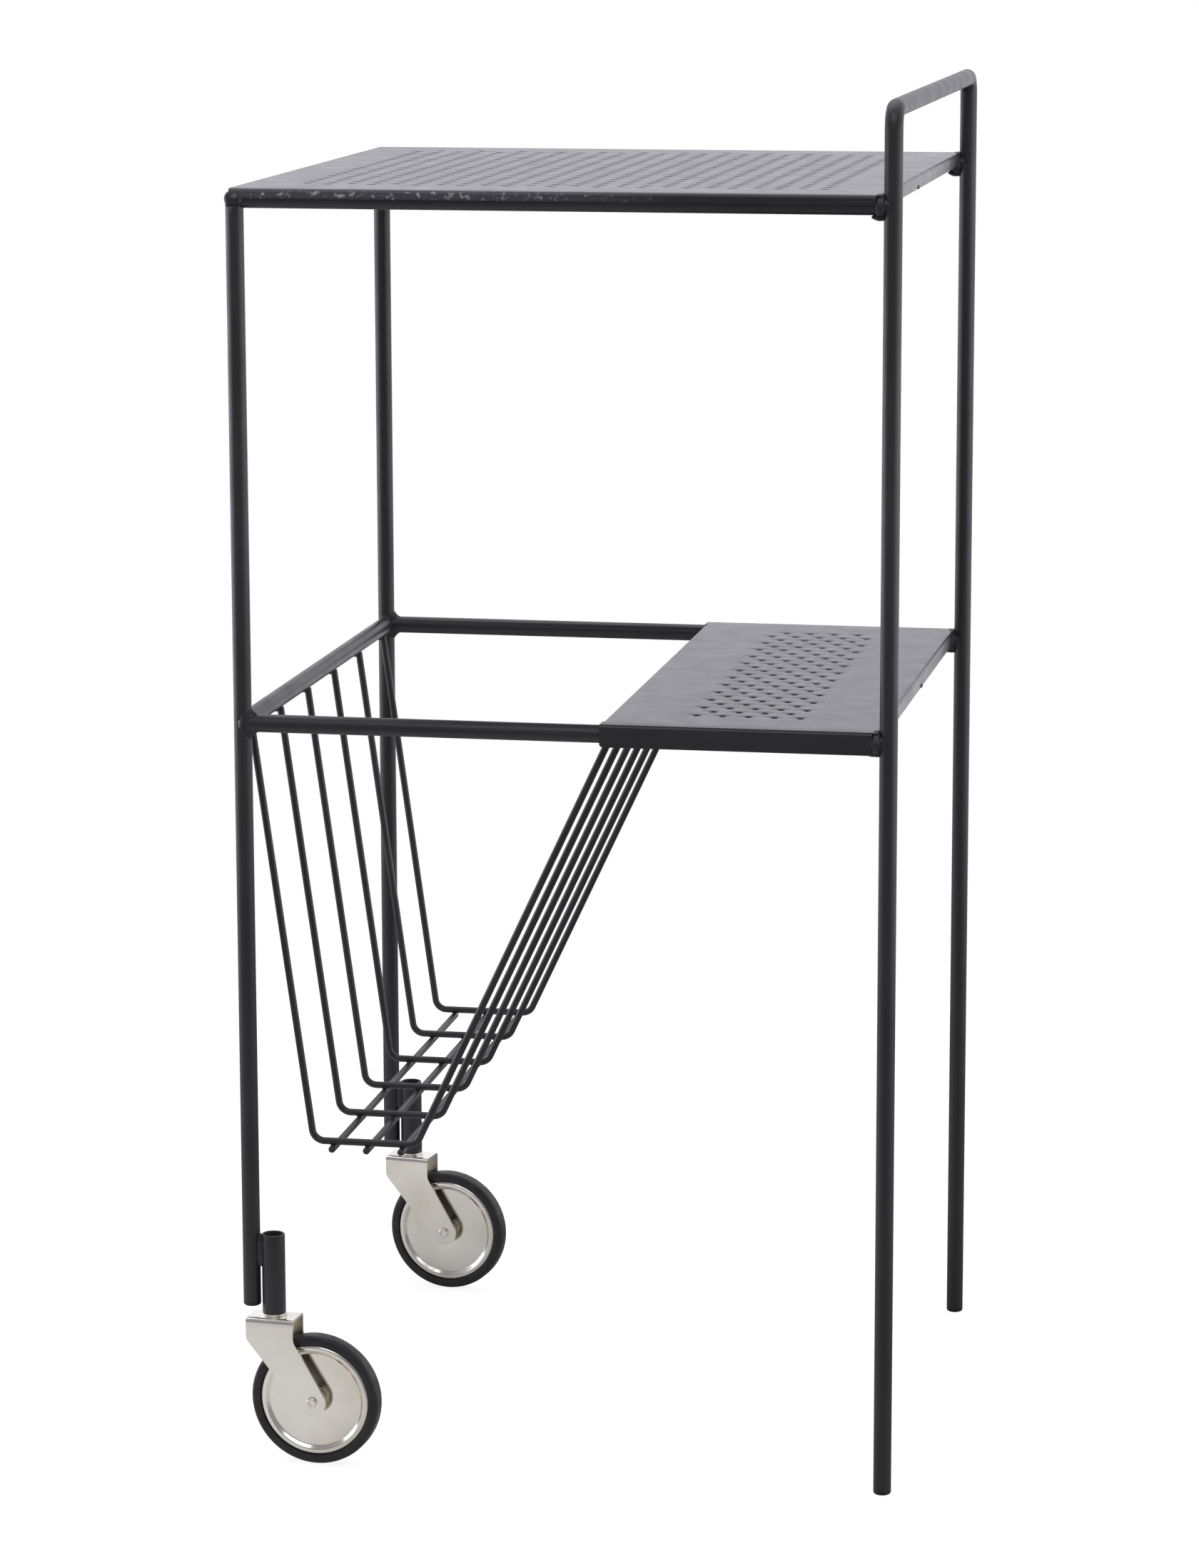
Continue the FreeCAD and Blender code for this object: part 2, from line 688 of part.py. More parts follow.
def tangent_angle(spot, centre, radius, turn):
    """Angle about the centre at which a line from the spot touches the circle, on the side given by turn."""
    gap = spot - centre
    return math.atan2(gap.y, gap.x) + turn * math.acos(radius / gap.Length)


def fork(label):
    """Caster fork: two cheeks that narrow to the axle and a top plate, folded from one sheet."""
    body = doc.addObject("PartDesign::Body", label)
    outline = attached_sketch(body, label + "_outline", "XZ_Plane")
    shoulder = "fork_top - fork_shoulder"
    back_top, front_top = corner("-fork_length / 2", "fork_top"), corner("fork_length / 2", "fork_top")
    front_low, back_low = corner("fork_length / 2", shoulder), corner("-fork_length / 2", shoulder)
    hub, hub_size = corner("caster_trail", "wheel_radius"), measure("fork_hub")
    end = tangent_angle(front_low, hub, hub_size, -1)
    start = tangent_angle(back_low, hub, hub_size, 1)
    round_end = Part.ArcOfCircle(Part.Circle(hub, Vector(0, 0, 1), hub_size), start, end + 2 * math.pi)
    for piece in (
        Part.LineSegment(back_top, front_top),
        Part.LineSegment(front_top, front_low),
        Part.LineSegment(front_low, round_end.EndPoint),
        round_end,
        Part.LineSegment(round_end.StartPoint, back_low),
        Part.LineSegment(back_low, back_top),
    ):
        outline.addGeometry(piece, False)
    for first, first_end, second, second_end in ((0, 2, 1, 1), (1, 2, 2, 1), (4, 2, 5, 1), (5, 2, 0, 1)):
        outline.addConstraint(Sketcher.Constraint("Coincident", first, first_end, second, second_end))
    outline.addConstraint(Sketcher.Constraint("Tangent", 2, 2, 3, 2))
    outline.addConstraint(Sketcher.Constraint("Tangent", 3, 1, 4, 1))
    pin_point(outline, 0, 1, "-fork_length / 2", "fork_top")
    pin_point(outline, 1, 1, "fork_length / 2", "fork_top")
    pin_point(outline, 2, 1, "fork_length / 2", shoulder)
    pin_point(outline, 5, 1, "-fork_length / 2", shoulder)
    pin_point(outline, 3, 3, "caster_trail", "wheel_radius")
    held = outline.addConstraint(Sketcher.Constraint("Radius", 3, hub_size))
    outline.setExpression(f"Constraints[{held}]", formula("fork_hub"))
    block = body.newObject("PartDesign::Pad", label + "_block")
    block.Profile = outline
    block.SideType = "Symmetric"
    bind(block, Length="fork_width")
    round_edges(body, label + "_shoulders", "fork_shoulder_round", lambda edge: (
        near(edge.Length, "fork_width") and near(edge.CenterOfMass.z, shoulder)))
    gap = body.newObject("PartDesign::Pocket", label + "_gap")
    gap.Profile = polygon_sketch(body, label + "_gap_outline", "XZ_Plane", [
        ("-fork_length", "fork_under"),
        ("-fork_length", "-overrun"),
        ("caster_trail + fork_length", "-overrun"),
        ("caster_trail + fork_length", "fork_under"),
    ])
    gap.SideType = "Symmetric"
    bind(gap, Length="fork_width - 2 * fork_sheet")
    round_edges(body, label + "_outer_bends", "fork_bend", lambda edge: (
        near(edge.CenterOfMass.z, "fork_top") and near(abs(edge.CenterOfMass.y), "fork_side")))
    round_edges(body, label + "_inner_bends", "fork_bend - fork_sheet", lambda edge: (
        near(edge.CenterOfMass.z, "fork_under") and near(abs(edge.CenterOfMass.y), "fork_side - fork_sheet")))
    drilled(body, label + "_stem_hole", "XY_Plane", "neck_radius + running_gap")
    drilled(body, label + "_axle_hole", "XZ_Plane", "axle_radius + weld_gap", "caster_trail", "wheel_radius")
    return body


def nut(label):
    """Hexagon nut on the tail of the axle, which lies along its own Z axis."""
    body = doc.addObject("PartDesign::Body", label)
    outline = attached_sketch(body, label + "_outline", "XY_Plane")
    apothem = measure("nut_width") / 2
    reach = apothem / math.cos(math.pi / NUT_SIDES)
    angles = [2 * math.pi * side / NUT_SIDES for side in range(NUT_SIDES)]
    points = [Vector(reach * math.cos(a), reach * math.sin(a), 0) for a in angles]
    for point, following in zip(points, points[1:] + points[:1]):
        outline.addGeometry(Part.LineSegment(point, following), False)
    inner = outline.addGeometry(Part.Circle(Vector(), Vector(0, 0, 1), apothem), True)
    for side in range(NUT_SIDES):
        outline.addConstraint(Sketcher.Constraint("Coincident", side, 2, (side + 1) % NUT_SIDES, 1))
        outline.addConstraint(Sketcher.Constraint("Tangent", side, inner))
        if side:
            outline.addConstraint(Sketcher.Constraint("Equal", 0, side))
    outline.addConstraint(Sketcher.Constraint("Coincident", inner, 3, -1, 1))
    outline.addConstraint(Sketcher.Constraint("PointOnObject", 0, 1, -1))
    held = outline.addConstraint(Sketcher.Constraint("Radius", inner, apothem))
    outline.setExpression(f"Constraints[{held}]", formula("nut_width / 2"))
    block = body.newObject("PartDesign::Pad", label + "_block")
    block.Profile = outline
    bind(block, Length="nut_thickness")
    drilled(body, label + "_thread", "XY_Plane", "axle_radius + weld_gap")
    return body


def disc(label, sign):
    """Pressed wheel disc: flat web, step and raised rim, on one side of the wheel's middle plane."""
    return revolved(label, [
        ("hub_radius + weld_gap", f"{sign}(web_face - disc_sheet)"),
        ("step_inside", f"{sign}(web_face - disc_sheet)"),
        ("step_outside", f"{sign}(rim_face - disc_sheet)"),
        ("rim_radius", f"{sign}(rim_face - disc_sheet)"),
        ("rim_radius", f"{sign}rim_face"),
        ("step_outside", f"{sign}rim_face"),
        ("step_inside", f"{sign}web_face"),
        ("hub_radius + weld_gap", f"{sign}web_face"),
    ])


def tyre(label):
    """Rubber tyre: a tongue held between the two disc rims and a wider tread with round shoulders."""
    tongue_side = "rim_face - disc_sheet - sheet_gap"
    body = revolved(label, [
        ("rim_radius - tyre_tongue", f"-({tongue_side})"),
        ("rim_radius + sheet_gap", f"-({tongue_side})"),
        ("rim_radius + sheet_gap", "-tyre_width / 2"),
        ("wheel_radius", "-tyre_width / 2"),
        ("wheel_radius", "tyre_width / 2"),
        ("rim_radius + sheet_gap", "tyre_width / 2"),
        ("rim_radius + sheet_gap", tongue_side),
        ("rim_radius - tyre_tongue", tongue_side),
    ])
    round_rim(body, label + "_shoulders", "tyre_round", "wheel_radius")
    return body


def washer(label):
    """Flat ring between the fork and the collar of the stem."""
    return revolved(label, [
        ("neck_radius + running_gap", "fork_top"),
        ("washer_diameter / 2", "fork_top"),
        ("washer_diameter / 2", "washer_top"),
        ("neck_radius + running_gap", "washer_top"),
    ])


def stem(label):
    """Caster stem: shank in the socket, collar under it, neck through the fork and riveted head below."""
    return revolved(label, [
        ("0", "stem_head_top - stem_head"),
        ("stem_head_diameter / 2", "stem_head_top - stem_head"),
        ("stem_head_diameter / 2", "stem_head_top"),
        ("neck_radius", "stem_head_top"),
        ("neck_radius", "collar_bottom"),
        ("collar_diameter / 2", "collar_bottom"),
        ("collar_diameter / 2", "collar_top"),
        ("socket_bore - weld_gap", "collar_top"),
        ("socket_bore - weld_gap", "socket_top - stem_recess"),
        ("0", "socket_top - stem_recess"),
    ])


def axle(label):
    """Axle bolt: head on the front cheek, shank through hub and cheeks, tail past the nut."""
    return revolved(label, [
        ("0", "-fork_side - axle_head"),
        ("axle_head_diameter / 2", "-fork_side - axle_head"),
        ("axle_head_diameter / 2", "-fork_side"),
        ("axle_radius", "-fork_side"),
        ("axle_radius", "fork_side + nut_thickness + axle_tail"),
        ("0", "fork_side + nut_thickness + axle_tail"),
    ])


def hub(label):
    """Hub sleeve that runs on the axle and carries both discs."""
    return revolved(label, [
        ("axle_radius + running_gap", "-hub_end"),
        ("hub_radius", "-hub_end"),
        ("hub_radius", "hub_end"),
        ("axle_radius + running_gap", "hub_end"),
    ])


# Casters: socket and stem belong to the frame, fork, washer and axle turn about the stem, wheels on the axle
for side, sign in SIDES.items():
    row_y = f"{sign}leg_y"
    socket_spot = ("socket_x", row_y, "collar_top")
    socket_solid = cylinder(f"{side}_socket_outside", "socket_radius", "Z", socket_spot, "socket_length")
    socket_hollow = cylinder(f"{side}_socket_bore", "socket_bore", "Z", socket_spot, "socket_length")
    subparts.append(cut(f"{side}_socket", socket_solid, socket_hollow))
    bridge = box(
        f"{side}_socket_weld_block",
        ("-leg_x", f"{row_y} - socket_weld_width / 2", "socket_top - socket_weld"),
        ("socket_x + leg_x", "socket_weld_width", "socket_weld"))
    socket_space = cylinder(
        f"{side}_socket_clearance", "socket_radius + weld_gap", "Z", socket_spot, "socket_length")
    subparts.append(cut(f"{side}_socket_weld", bridge, left_leg_space[side], socket_space))
    subparts.append(place(stem(f"{side}_stem"), "socket_x", row_y))

    angle_name = f"{side}_caster_angle"
    swing = Rotation(Vector(0, 0, 1), measure(angle_name))
    for piece in (fork(f"{side}_fork"), washer(f"{side}_swivel_washer")):
        piece.Placement = Placement(Vector(), swing)
        subparts.append(place(piece, "socket_x", row_y))
    axle_spot = (
        f"socket_x + caster_trail * cos({angle_name} * 1deg)",
        f"{row_y} + caster_trail * sin({angle_name} * 1deg)",
        "wheel_radius")
    for piece in (
        axle(f"{side}_axle_bolt"),
        hub(f"{side}_wheel_hub"),
        disc(f"{side}_wheel_outer_disc", "-"),
        disc(f"{side}_wheel_inner_disc", ""),
        tyre(f"{side}_tyre"),
    ):
        piece.Placement = Placement(Vector(), swing * ALONG["Y"])
        subparts.append(place(piece, *axle_spot))
    axle_nut = nut(f"{side}_axle_nut")
    axle_nut.Placement = Placement(Vector(), swing * ALONG["Y"])
    subparts.append(place(
        axle_nut,
        f"{axle_spot[0]} - fork_side * sin({angle_name} * 1deg)",
        f"{axle_spot[1]} + fork_side * cos({angle_name} * 1deg)",
        "wheel_radius"))

doc.recompute()
for item in doc.Objects:
    if "Invalid" in item.State or "Error" in item.State:
        raise RuntimeError(f"{item.Label} did not recompute: {item.State}")
for item in subparts:
    if item.Shape.isNull() or not item.Shape.isValid():
        raise RuntimeError(f"{item.Label} has no valid shape")

os.makedirs("parts", exist_ok=True)
for item in subparts:
    item.Shape.exportStep(f"parts/{item.Label}.step")
    print(f"{item.Label}: {len(item.Shape.Solids)} solid, {item.Shape.Volume:.1f} mm3")
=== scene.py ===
# %% [markdown]
# # Storage trolley
# The trolley is a frame of thin painted tube with a perforated plate on top, a perforated half shelf, a
# wire basket and two small casters. The CAD model fixes every size. This lesson dresses it: each piece is
# worked out again as a smooth numpy surface in the same place, and gets a finish made of nodes.

import bmesh
import bpy
import numpy as np
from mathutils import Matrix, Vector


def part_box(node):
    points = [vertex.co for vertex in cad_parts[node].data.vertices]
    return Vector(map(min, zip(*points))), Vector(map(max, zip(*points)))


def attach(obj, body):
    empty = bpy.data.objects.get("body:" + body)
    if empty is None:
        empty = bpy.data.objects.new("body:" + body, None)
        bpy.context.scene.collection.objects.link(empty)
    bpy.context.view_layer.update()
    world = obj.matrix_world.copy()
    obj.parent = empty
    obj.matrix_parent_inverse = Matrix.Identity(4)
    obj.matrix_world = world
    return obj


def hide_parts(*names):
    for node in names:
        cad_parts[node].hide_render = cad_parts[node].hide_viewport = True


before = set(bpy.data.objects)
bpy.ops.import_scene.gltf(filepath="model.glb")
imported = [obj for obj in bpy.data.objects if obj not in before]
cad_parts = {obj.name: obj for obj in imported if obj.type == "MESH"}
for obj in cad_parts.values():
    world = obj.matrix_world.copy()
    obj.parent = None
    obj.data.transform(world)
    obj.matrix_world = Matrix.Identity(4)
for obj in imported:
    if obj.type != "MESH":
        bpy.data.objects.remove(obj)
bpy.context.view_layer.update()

# %% [markdown]
# ## Finishes
# The frame has a satin graphite powder coat. Seen close, such a coat has a fine orange peel, slow changes
# of tone and small rubbed spots. A photograph could be wrapped on, but nodes on Object coordinates keep
# the same grain on every tube, whatever its length, so they are used here.

# %% A small helper for nodes
def node(tree, kind, settings=None, **sockets):
    """One node of a kind, with its settings and its input sockets, each by its name or by _ and its
    number: a value is set, an output is linked."""
    made = tree.nodes.new(kind)
    for name, value in (settings or {}).items():
        setattr(made, name, value)
    for name, value in sockets.items():
        socket = made.inputs[int(name[1:])] if name[1:].isdigit() else made.inputs[name.replace("_", " ")]
        if isinstance(value, bpy.types.NodeSocket):
            tree.links.new(value, socket)
        else:
            socket.default_value = value
    return made


def tone_ramp(tree, factor, low, high, dark, light):
    """Colour that goes from dark to light while the factor goes from low to high."""
    ramp = node(tree, "ShaderNodeValToRGB", Fac=factor)
    first, last = ramp.color_ramp.elements
    first.position, first.color = low, (*dark, 1)
    last.position, last.color = high, (*light, 1)
    return ramp.outputs["Color"]


def new_finish(name, **sockets):
    """Material with one shader whose constant sockets are set, and its object coordinates."""
    finish = bpy.data.materials.new(name)
    finish.use_nodes = True
    tree = finish.node_tree
    shader = tree.nodes["Principled BSDF"]
    for socket, value in sockets.items():
        shader.inputs[socket.replace("_", " ")].default_value = value
    place = tree.nodes.new("ShaderNodeTexCoord").outputs["Object"]
    return finish, tree, shader, place


print("Helpers:", node.__name__, tone_ramp.__name__, new_finish.__name__)

# %% Noise, ranges and relief
def grain(tree, place, scale, detail=2.0, rough=0.5):
    """Noise factor of so many waves in a metre."""
    made = node(tree, "ShaderNodeTexNoise", Vector=place, Scale=scale, Detail=detail, Roughness=rough)
    return made.outputs["Fac"]


def between(tree, value, low, high, start=0.0, end=1.0):
    """Value mapped from the range low..high to start..end and held inside it."""
    made = node(tree, "ShaderNodeMapRange", Value=value)
    for number, limit in enumerate((low, high, start, end), start=1):
        made.inputs[number].default_value = limit
    return made.outputs["Result"]


def times(tree, first, second):
    """Product of two factors."""
    return node(tree, "ShaderNodeMath", {"operation": "MULTIPLY"}, _0=first, _1=second).outputs[0]


def blended(tree, factor, first, second):
    """Mix of two colours."""
    made = node(tree, "ShaderNodeMix", {"data_type": "RGBA"}, _0=factor, _6=first, _7=second)
    return made.outputs[2]


def tone_and_gloss(tree, shader, colour, roughness):
    """Colour and roughness of a shader from two outputs."""
    tree.links.new(colour, shader.inputs["Base Color"])
    tree.links.new(roughness, shader.inputs["Roughness"])


def relief(tree, shader, height, distance, strength):
    """Fine bumps of a height in metres on a shader."""
    made = node(tree, "ShaderNodeBump", Strength=strength, Distance=distance, Height=height)
    tree.links.new(made.outputs["Normal"], shader.inputs["Normal"])


print("Helpers:", [made.__name__ for made in (grain, between, times, blended, relief)])

# %% Graphite powder coat
RUBBED, CHIPPED = (0.17, 0.17, 0.18, 1), (0.55, 0.55, 0.60, 1)
COAT_DARK, COAT_LIGHT = (0.0265, 0.0256, 0.0262), (0.041, 0.040, 0.0408)
PEEL_HEIGHT, PEEL_STRENGTH = 0.00006, 0.10
FRONT_FACE, RIGHT_FACE = (-0.1795, -0.1806), (0.1735, 0.1745)
EDGE_RISE, EDGE_FALL = (0.7140, 0.7160), (0.7197, 0.7186)
WORN_FRONT, WORN_RIGHT, RIGHT_SHARE = (0.06, -0.03), (-0.06, -0.02), 0.6
NOISE_SPAN, SPECK_SPAN, CHIP_SPAN, FEWEST_CHIPS = (0.3, 0.7), (0.70, 0.78), (0.55, 0.63), 0.10


def chipped_paint(tree, place):
    """Share of bare metal: chips of noise, times a band along the plate's edge, times the larger of two
    zones, the left part of its front face and the rear part of its right face."""
    along, across, up = node(tree, "ShaderNodeSeparateXYZ", Vector=place).outputs
    chips = grain(tree, place, scale=260, detail=6, rough=0.75)
    chips = between(tree, chips, *CHIP_SPAN, FEWEST_CHIPS, 1.0)
    edge = times(tree, between(tree, up, *EDGE_RISE), between(tree, up, *EDGE_FALL))
    front = times(tree, between(tree, across, *FRONT_FACE), between(tree, along, *WORN_FRONT))
    right = times(tree, between(tree, along, *RIGHT_FACE), between(tree, across, *WORN_RIGHT))
    right = times(tree, right, RIGHT_SHARE)
    zone = node(tree, "ShaderNodeMath", {"operation": "MAXIMUM"}, _0=front, _1=right)
    return times(tree, times(tree, chips, edge), zone.outputs[0])


def graphite_coat(name, smooth, rough, speckle, scuffed):
    """Powder coat: slow tone, fine peel, gloss between two roughness values, rubbed specks, and where it
    is scuffed chipped paint along the plate's front and right edges."""
    finish, tree, shader, place = new_finish(name, IOR=1.5)
    slow = grain(tree, place, scale=14, detail=4)
    tone = tone_ramp(tree, slow, *NOISE_SPAN, COAT_DARK, COAT_LIGHT)
    fine = grain(tree, place, scale=420, detail=3, rough=0.7)
    specks = between(tree, fine, *SPECK_SPAN, 0, speckle)
    colour = blended(tree, specks, tone, RUBBED)
    if scuffed:
        colour = blended(tree, chipped_paint(tree, place), colour, CHIPPED)
    gloss = between(tree, grain(tree, place, scale=60, detail=4), *NOISE_SPAN, smooth, rough)
    tone_and_gloss(tree, shader, colour, gloss)
    relief(tree, shader, grain(tree, place, scale=900), PEEL_HEIGHT, PEEL_STRENGTH)
    return finish


tube_coat = graphite_coat("graphite_tube_coat", smooth=0.34, rough=0.42, speckle=0.22, scuffed=False)
sheet_coat = graphite_coat("graphite_sheet_coat", smooth=0.24, rough=0.30, speckle=0.08, scuffed=True)
print("Made", tube_coat.name, "and", sheet_coat.name)

# %% [markdown]
# ## Plated steel, rubber and plastic
# The casters are bright plating: a warm metal with faint blotches and very fine scratches. The wheel
# discs were spun, so their scratches run in circles and stretch every reflection. They are too fine to
# draw, so the shader's anisotropy stands for them, along a direction that comes from a UV map laid round
# the axle. The tyres are matt rubber with a dusty bloom, and the leg plugs are moulded plastic with a
# spark-eroded grain.

# %% Plated steel, rubber and plastic
PLATING_WARM, PLATING_BRIGHT = (0.79, 0.74, 0.64), (0.93, 0.90, 0.825)
SCRATCH_HEIGHT, SCRATCH_STRETCH = 0.00002, (1, 1, 9)
BLOTCH_SPAN, BLOOM_SPAN, BLOOM_HEIGHT, BLOOM_STRENGTH = (0.35, 0.65), (0.35, 0.7), 0.0001, 0.3


def plated(name, smooth, rough, scratch, **sockets):
    """Bright plating: warm metal whose tone and gloss drift in faint blotches, under very fine scratches
    unless their strength is zero."""
    finish, tree, shader, place = new_finish(name, Metallic=1.0, **sockets)
    blotches = grain(tree, place, scale=24, detail=4)
    tone = tone_ramp(tree, blotches, *BLOTCH_SPAN, PLATING_WARM, PLATING_BRIGHT)
    gloss = between(tree, blotches, *NOISE_SPAN, smooth, rough)
    tone_and_gloss(tree, shader, tone, gloss)
    if scratch:
        stretch = node(tree, "ShaderNodeMapping", Vector=place, Scale=SCRATCH_STRETCH)
        lines = grain(tree, stretch.outputs[0], scale=300, detail=3)
        relief(tree, shader, lines, SCRATCH_HEIGHT, scratch)
    return finish


def matt(name, dark, light, scale, smooth, rough):
    """Matt moulding: dark tone with a paler bloom, and a fine grain in its relief."""
    finish, tree, shader, place = new_finish(name, IOR=1.5)
    tone = tone_ramp(tree, grain(tree, place, scale, detail=5), *BLOOM_SPAN, dark, light)
    gloss = between(tree, grain(tree, place, 3 * scale, detail=3), *NOISE_SPAN, smooth, rough)
    tone_and_gloss(tree, shader, tone, gloss)
    relief(tree, shader, grain(tree, place, scale=1500, detail=3), BLOOM_HEIGHT, BLOOM_STRENGTH)
    return finish


plating = plated("bright_plating", smooth=0.17, rough=0.23, scratch=0.08)
spun_plating = plated("spun_bright_plating", smooth=0.13, rough=0.17, scratch=0.0, Anisotropic=0.6)
spun_tree = spun_plating.node_tree
lathe_way = node(spun_tree, "ShaderNodeTangent", {"direction_type": "UV_MAP", "uv_map": "spin"})
spun_tree.links.new(lathe_way.outputs[0], spun_tree.nodes["Principled BSDF"].inputs["Tangent"])
rubber = matt("matt_tyre_rubber", (0.012, 0.012, 0.013), (0.030, 0.029, 0.028),
              scale=90, smooth=0.42, rough=0.6)
plastic = matt("moulded_plug_plastic", (0.014, 0.014, 0.015), (0.022, 0.022, 0.023),
               scale=70, smooth=0.45, rough=0.6)

# %% [markdown]
# ## From a grid of points to a piece
# Every piece is a grid of points, worked out in millimetres as one array, and the quads between them. One
# function turns a list of such grids into a mesh: it merges the seam and the poles, points the faces
# outwards, gives a sheet its thickness, sets the sharp edges, ties the piece to its body, and hides its CAD
# node.

# %% Grids of points
def surface(points, around=False, closed=False):
    """Points of shape (rows, columns, 3) and their quads. With around the last column joins the first,
    and with closed the last row joins the first."""
    rows, columns = points.shape[:2]
    i = np.arange(rows if closed else rows - 1)[:, None]
    j = np.arange(columns if around else columns - 1)[None, :]
    here, there = i * columns, (i + 1) % rows * columns
    following = (j + 1) % columns
    quads = np.stack([here + j, here + following, there + following, there + j], -1)
    return points.reshape(-1, 3), quads.reshape(-1, 4)


print("A grid of 3 by 4 points has", len(surface(np.zeros((3, 4, 3)))[1]), "quads")

# %% Pieces in the scene
MM = 0.001
SMOOTH_ANGLE = np.radians(38)
SEAM = 2e-6


def placed(name, data):
    """New object of a mesh, lamp or camera, linked into the scene."""
    made = bpy.data.objects.new(name, data)
    bpy.context.scene.collection.objects.link(made)
    return made


def make_piece(name, body, finish, surfaces, nodes, wall=0.0):
    """Mesh object from several surfaces, in place of some CAD nodes. A wall in millimetres thickens an
    open sheet away from its outer side."""
    starts = np.cumsum([0] + [len(points) for points, quads in surfaces[:-1]])
    points = np.concatenate([points for points, quads in surfaces]) * MM
    quads = np.concatenate([quads + start for (own, quads), start in zip(surfaces, starts)])
    mesh = bpy.data.meshes.new(name)
    mesh.from_pydata(points.tolist(), [], quads.tolist())
    shape = bmesh.new()
    shape.from_mesh(mesh)
    bmesh.ops.remove_doubles(shape, verts=shape.verts, dist=SEAM)
    bmesh.ops.dissolve_degenerate(shape, edges=shape.edges, dist=SEAM / 10)
    bmesh.ops.recalc_face_normals(shape, faces=shape.faces)
    if wall and sum(face.normal.z * face.calc_area() for face in shape.faces) < 0:
        bmesh.ops.reverse_faces(shape, faces=shape.faces)
    shape.to_mesh(mesh)
    shape.free()
    piece = placed(name, mesh)
    if wall:
        thicken = piece.modifiers.new("wall", "SOLIDIFY")
        thicken.thickness, thicken.offset, thicken.use_even_offset = wall * MM, -1, True
        ready = piece.evaluated_get(bpy.context.evaluated_depsgraph_get())
        mesh = bpy.data.meshes.new_from_object(ready)
        piece.modifiers.clear()
        piece.data = mesh
    mesh.shade_smooth()
    mesh.set_sharp_from_angle(angle=SMOOTH_ANGLE)
    mesh.materials.clear()
    mesh.materials.append(finish)
    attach(piece, body)
    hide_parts(*nodes)
    corners = np.array([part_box(n) for n in nodes]) / MM
    low, high = points.min(0) / MM, points.max(0) / MM
    print(f"{name}: {len(mesh.polygons)} faces, beyond its CAD box by",
          np.round(np.maximum(corners[:, 0].min(0) - low, high - corners[:, 1].max(0)), 2))
    return piece


def frame_piece(name, surfaces, cad_node):
    """Painted piece of the frame, in place of one CAD node."""
    return make_piece(name, "frame", tube_coat, surfaces, [cad_node])


print("Edges of more than", round(np.degrees(SMOOTH_ANGLE)), "degrees stay sharp")

# %% [markdown]
# ## Handle loop
# One long tube makes both right legs and the handle between them, bent twice on a tube bender. A curve
# object with a bevel would do it, but working out the path gives the true bend radius of the tool:
# straight runs, and at each corner an arc that touches both runs.

# %% A bent path
TUBE, LEG_X, LEG_Y = 5.0, 180.0, 175.0
X, Y, Z = np.eye(3)


def bent_path(corners, bends, steps=10):
    """Points and directions in a plane along straight runs through the corners. A corner of bend r
    becomes an arc that starts r / tan(half the inside angle) before the corner."""
    corners = np.asarray(corners, float)
    bends = np.broadcast_to(bends, len(corners) - 2)
    points, headings = [corners[:1]], []
    runs = np.diff(corners, axis=0)
    runs /= np.linalg.norm(runs, axis=1, keepdims=True)
    headings.append(runs[:1])
    for spot, before, after, bend in zip(corners[1:-1], runs, runs[1:], bends):
        turn = np.arctan2(before[0] * after[1] - before[1] * after[0], before @ after)
        reach = bend * np.tan(abs(turn) / 2)
        inward = np.sign(turn) * np.array([-before[1], before[0]])
        swing = np.linspace(0, abs(turn), steps)[:, None]
        middle = spot - before * reach + inward * bend
        points.append(middle + bend * (np.sin(swing) * before - np.cos(swing) * inward))
        headings.append(np.cos(swing) * before + np.sin(swing) * inward)
    points.append(corners[-1:])
    headings.append(runs[-1:])
    return np.concatenate(points), np.concatenate(headings)


print("A square corner becomes", len(bent_path([(0, 0), (50, 0), (50, 50)], 10)[0]) - 2, "points of an arc")

# %% A round section carried along a path
AROUND = 40


def round_angles(count):
    """Even steps of angle once round."""
    return np.linspace(0, 2 * np.pi, count, endpoint=False)


def carried_circle(centres, across, over, radii, count=AROUND):
    """Round section along a path: point = centre + radius * (cos t * across + sin t * over)."""
    t = round_angles(count)[:, None]
    radii = np.broadcast_to(radii, len(centres))[:, None, None]
    return surface(centres[:, None] + radii * (np.cos(t) * across[:, None] + np.sin(t) * over), around=True)


def closed_bar(path, first, second, origin, over, radius, count=AROUND):
    """Bar of one radius along a plane path, whose ends close to their middle. First and second are the
    plane's two directions in space and over is the one across it."""
    flat, heading = path
    centres = origin + flat[:, :1] * first + flat[:, 1:] * second
    across = -heading[:, 1:] * first + heading[:, :1] * second
    ends = [0] + list(range(len(flat))) + [len(flat) - 1]
    radii = np.full(len(ends), radius)
    radii[[0, -1]] = 0
    return carried_circle(centres[ends], across[ends], over, radii, count)


print("Tube of", 2 * TUBE, "mm, leg axes", 2 * LEG_X, "by", 2 * LEG_Y, "mm apart")

# %% The handle loop
HANDLE_Z, HANDLE_BEND, PLUG_RIM = 765.0, 10.0, 2.5
LOOP_RADIUS = TUBE - 0.02  # a hair slim, to stay inside the CAD tube's facets
loop_corners = [(-LEG_Y, PLUG_RIM), (-LEG_Y, HANDLE_Z), (LEG_Y, HANDLE_Z), (LEG_Y, PLUG_RIM)]
loop_path = bent_path(loop_corners, HANDLE_BEND, steps=16)
loop = closed_bar(loop_path, Y, Z, LEG_X * X, X, LOOP_RADIUS, count=48)
frame_piece("handle_loop_tube", [loop], "handle_loop")

# %% [markdown]
# ## Legs and rails
# The other tubes are straight and welded. A tube that meets another of the same size is notched, so its
# end is a saddle. A boolean would cut it, but the saddle has a simple formula: a point that lies s to the
# side of the met tube's middle stands back from that middle by the square root of R squared less s
# squared.

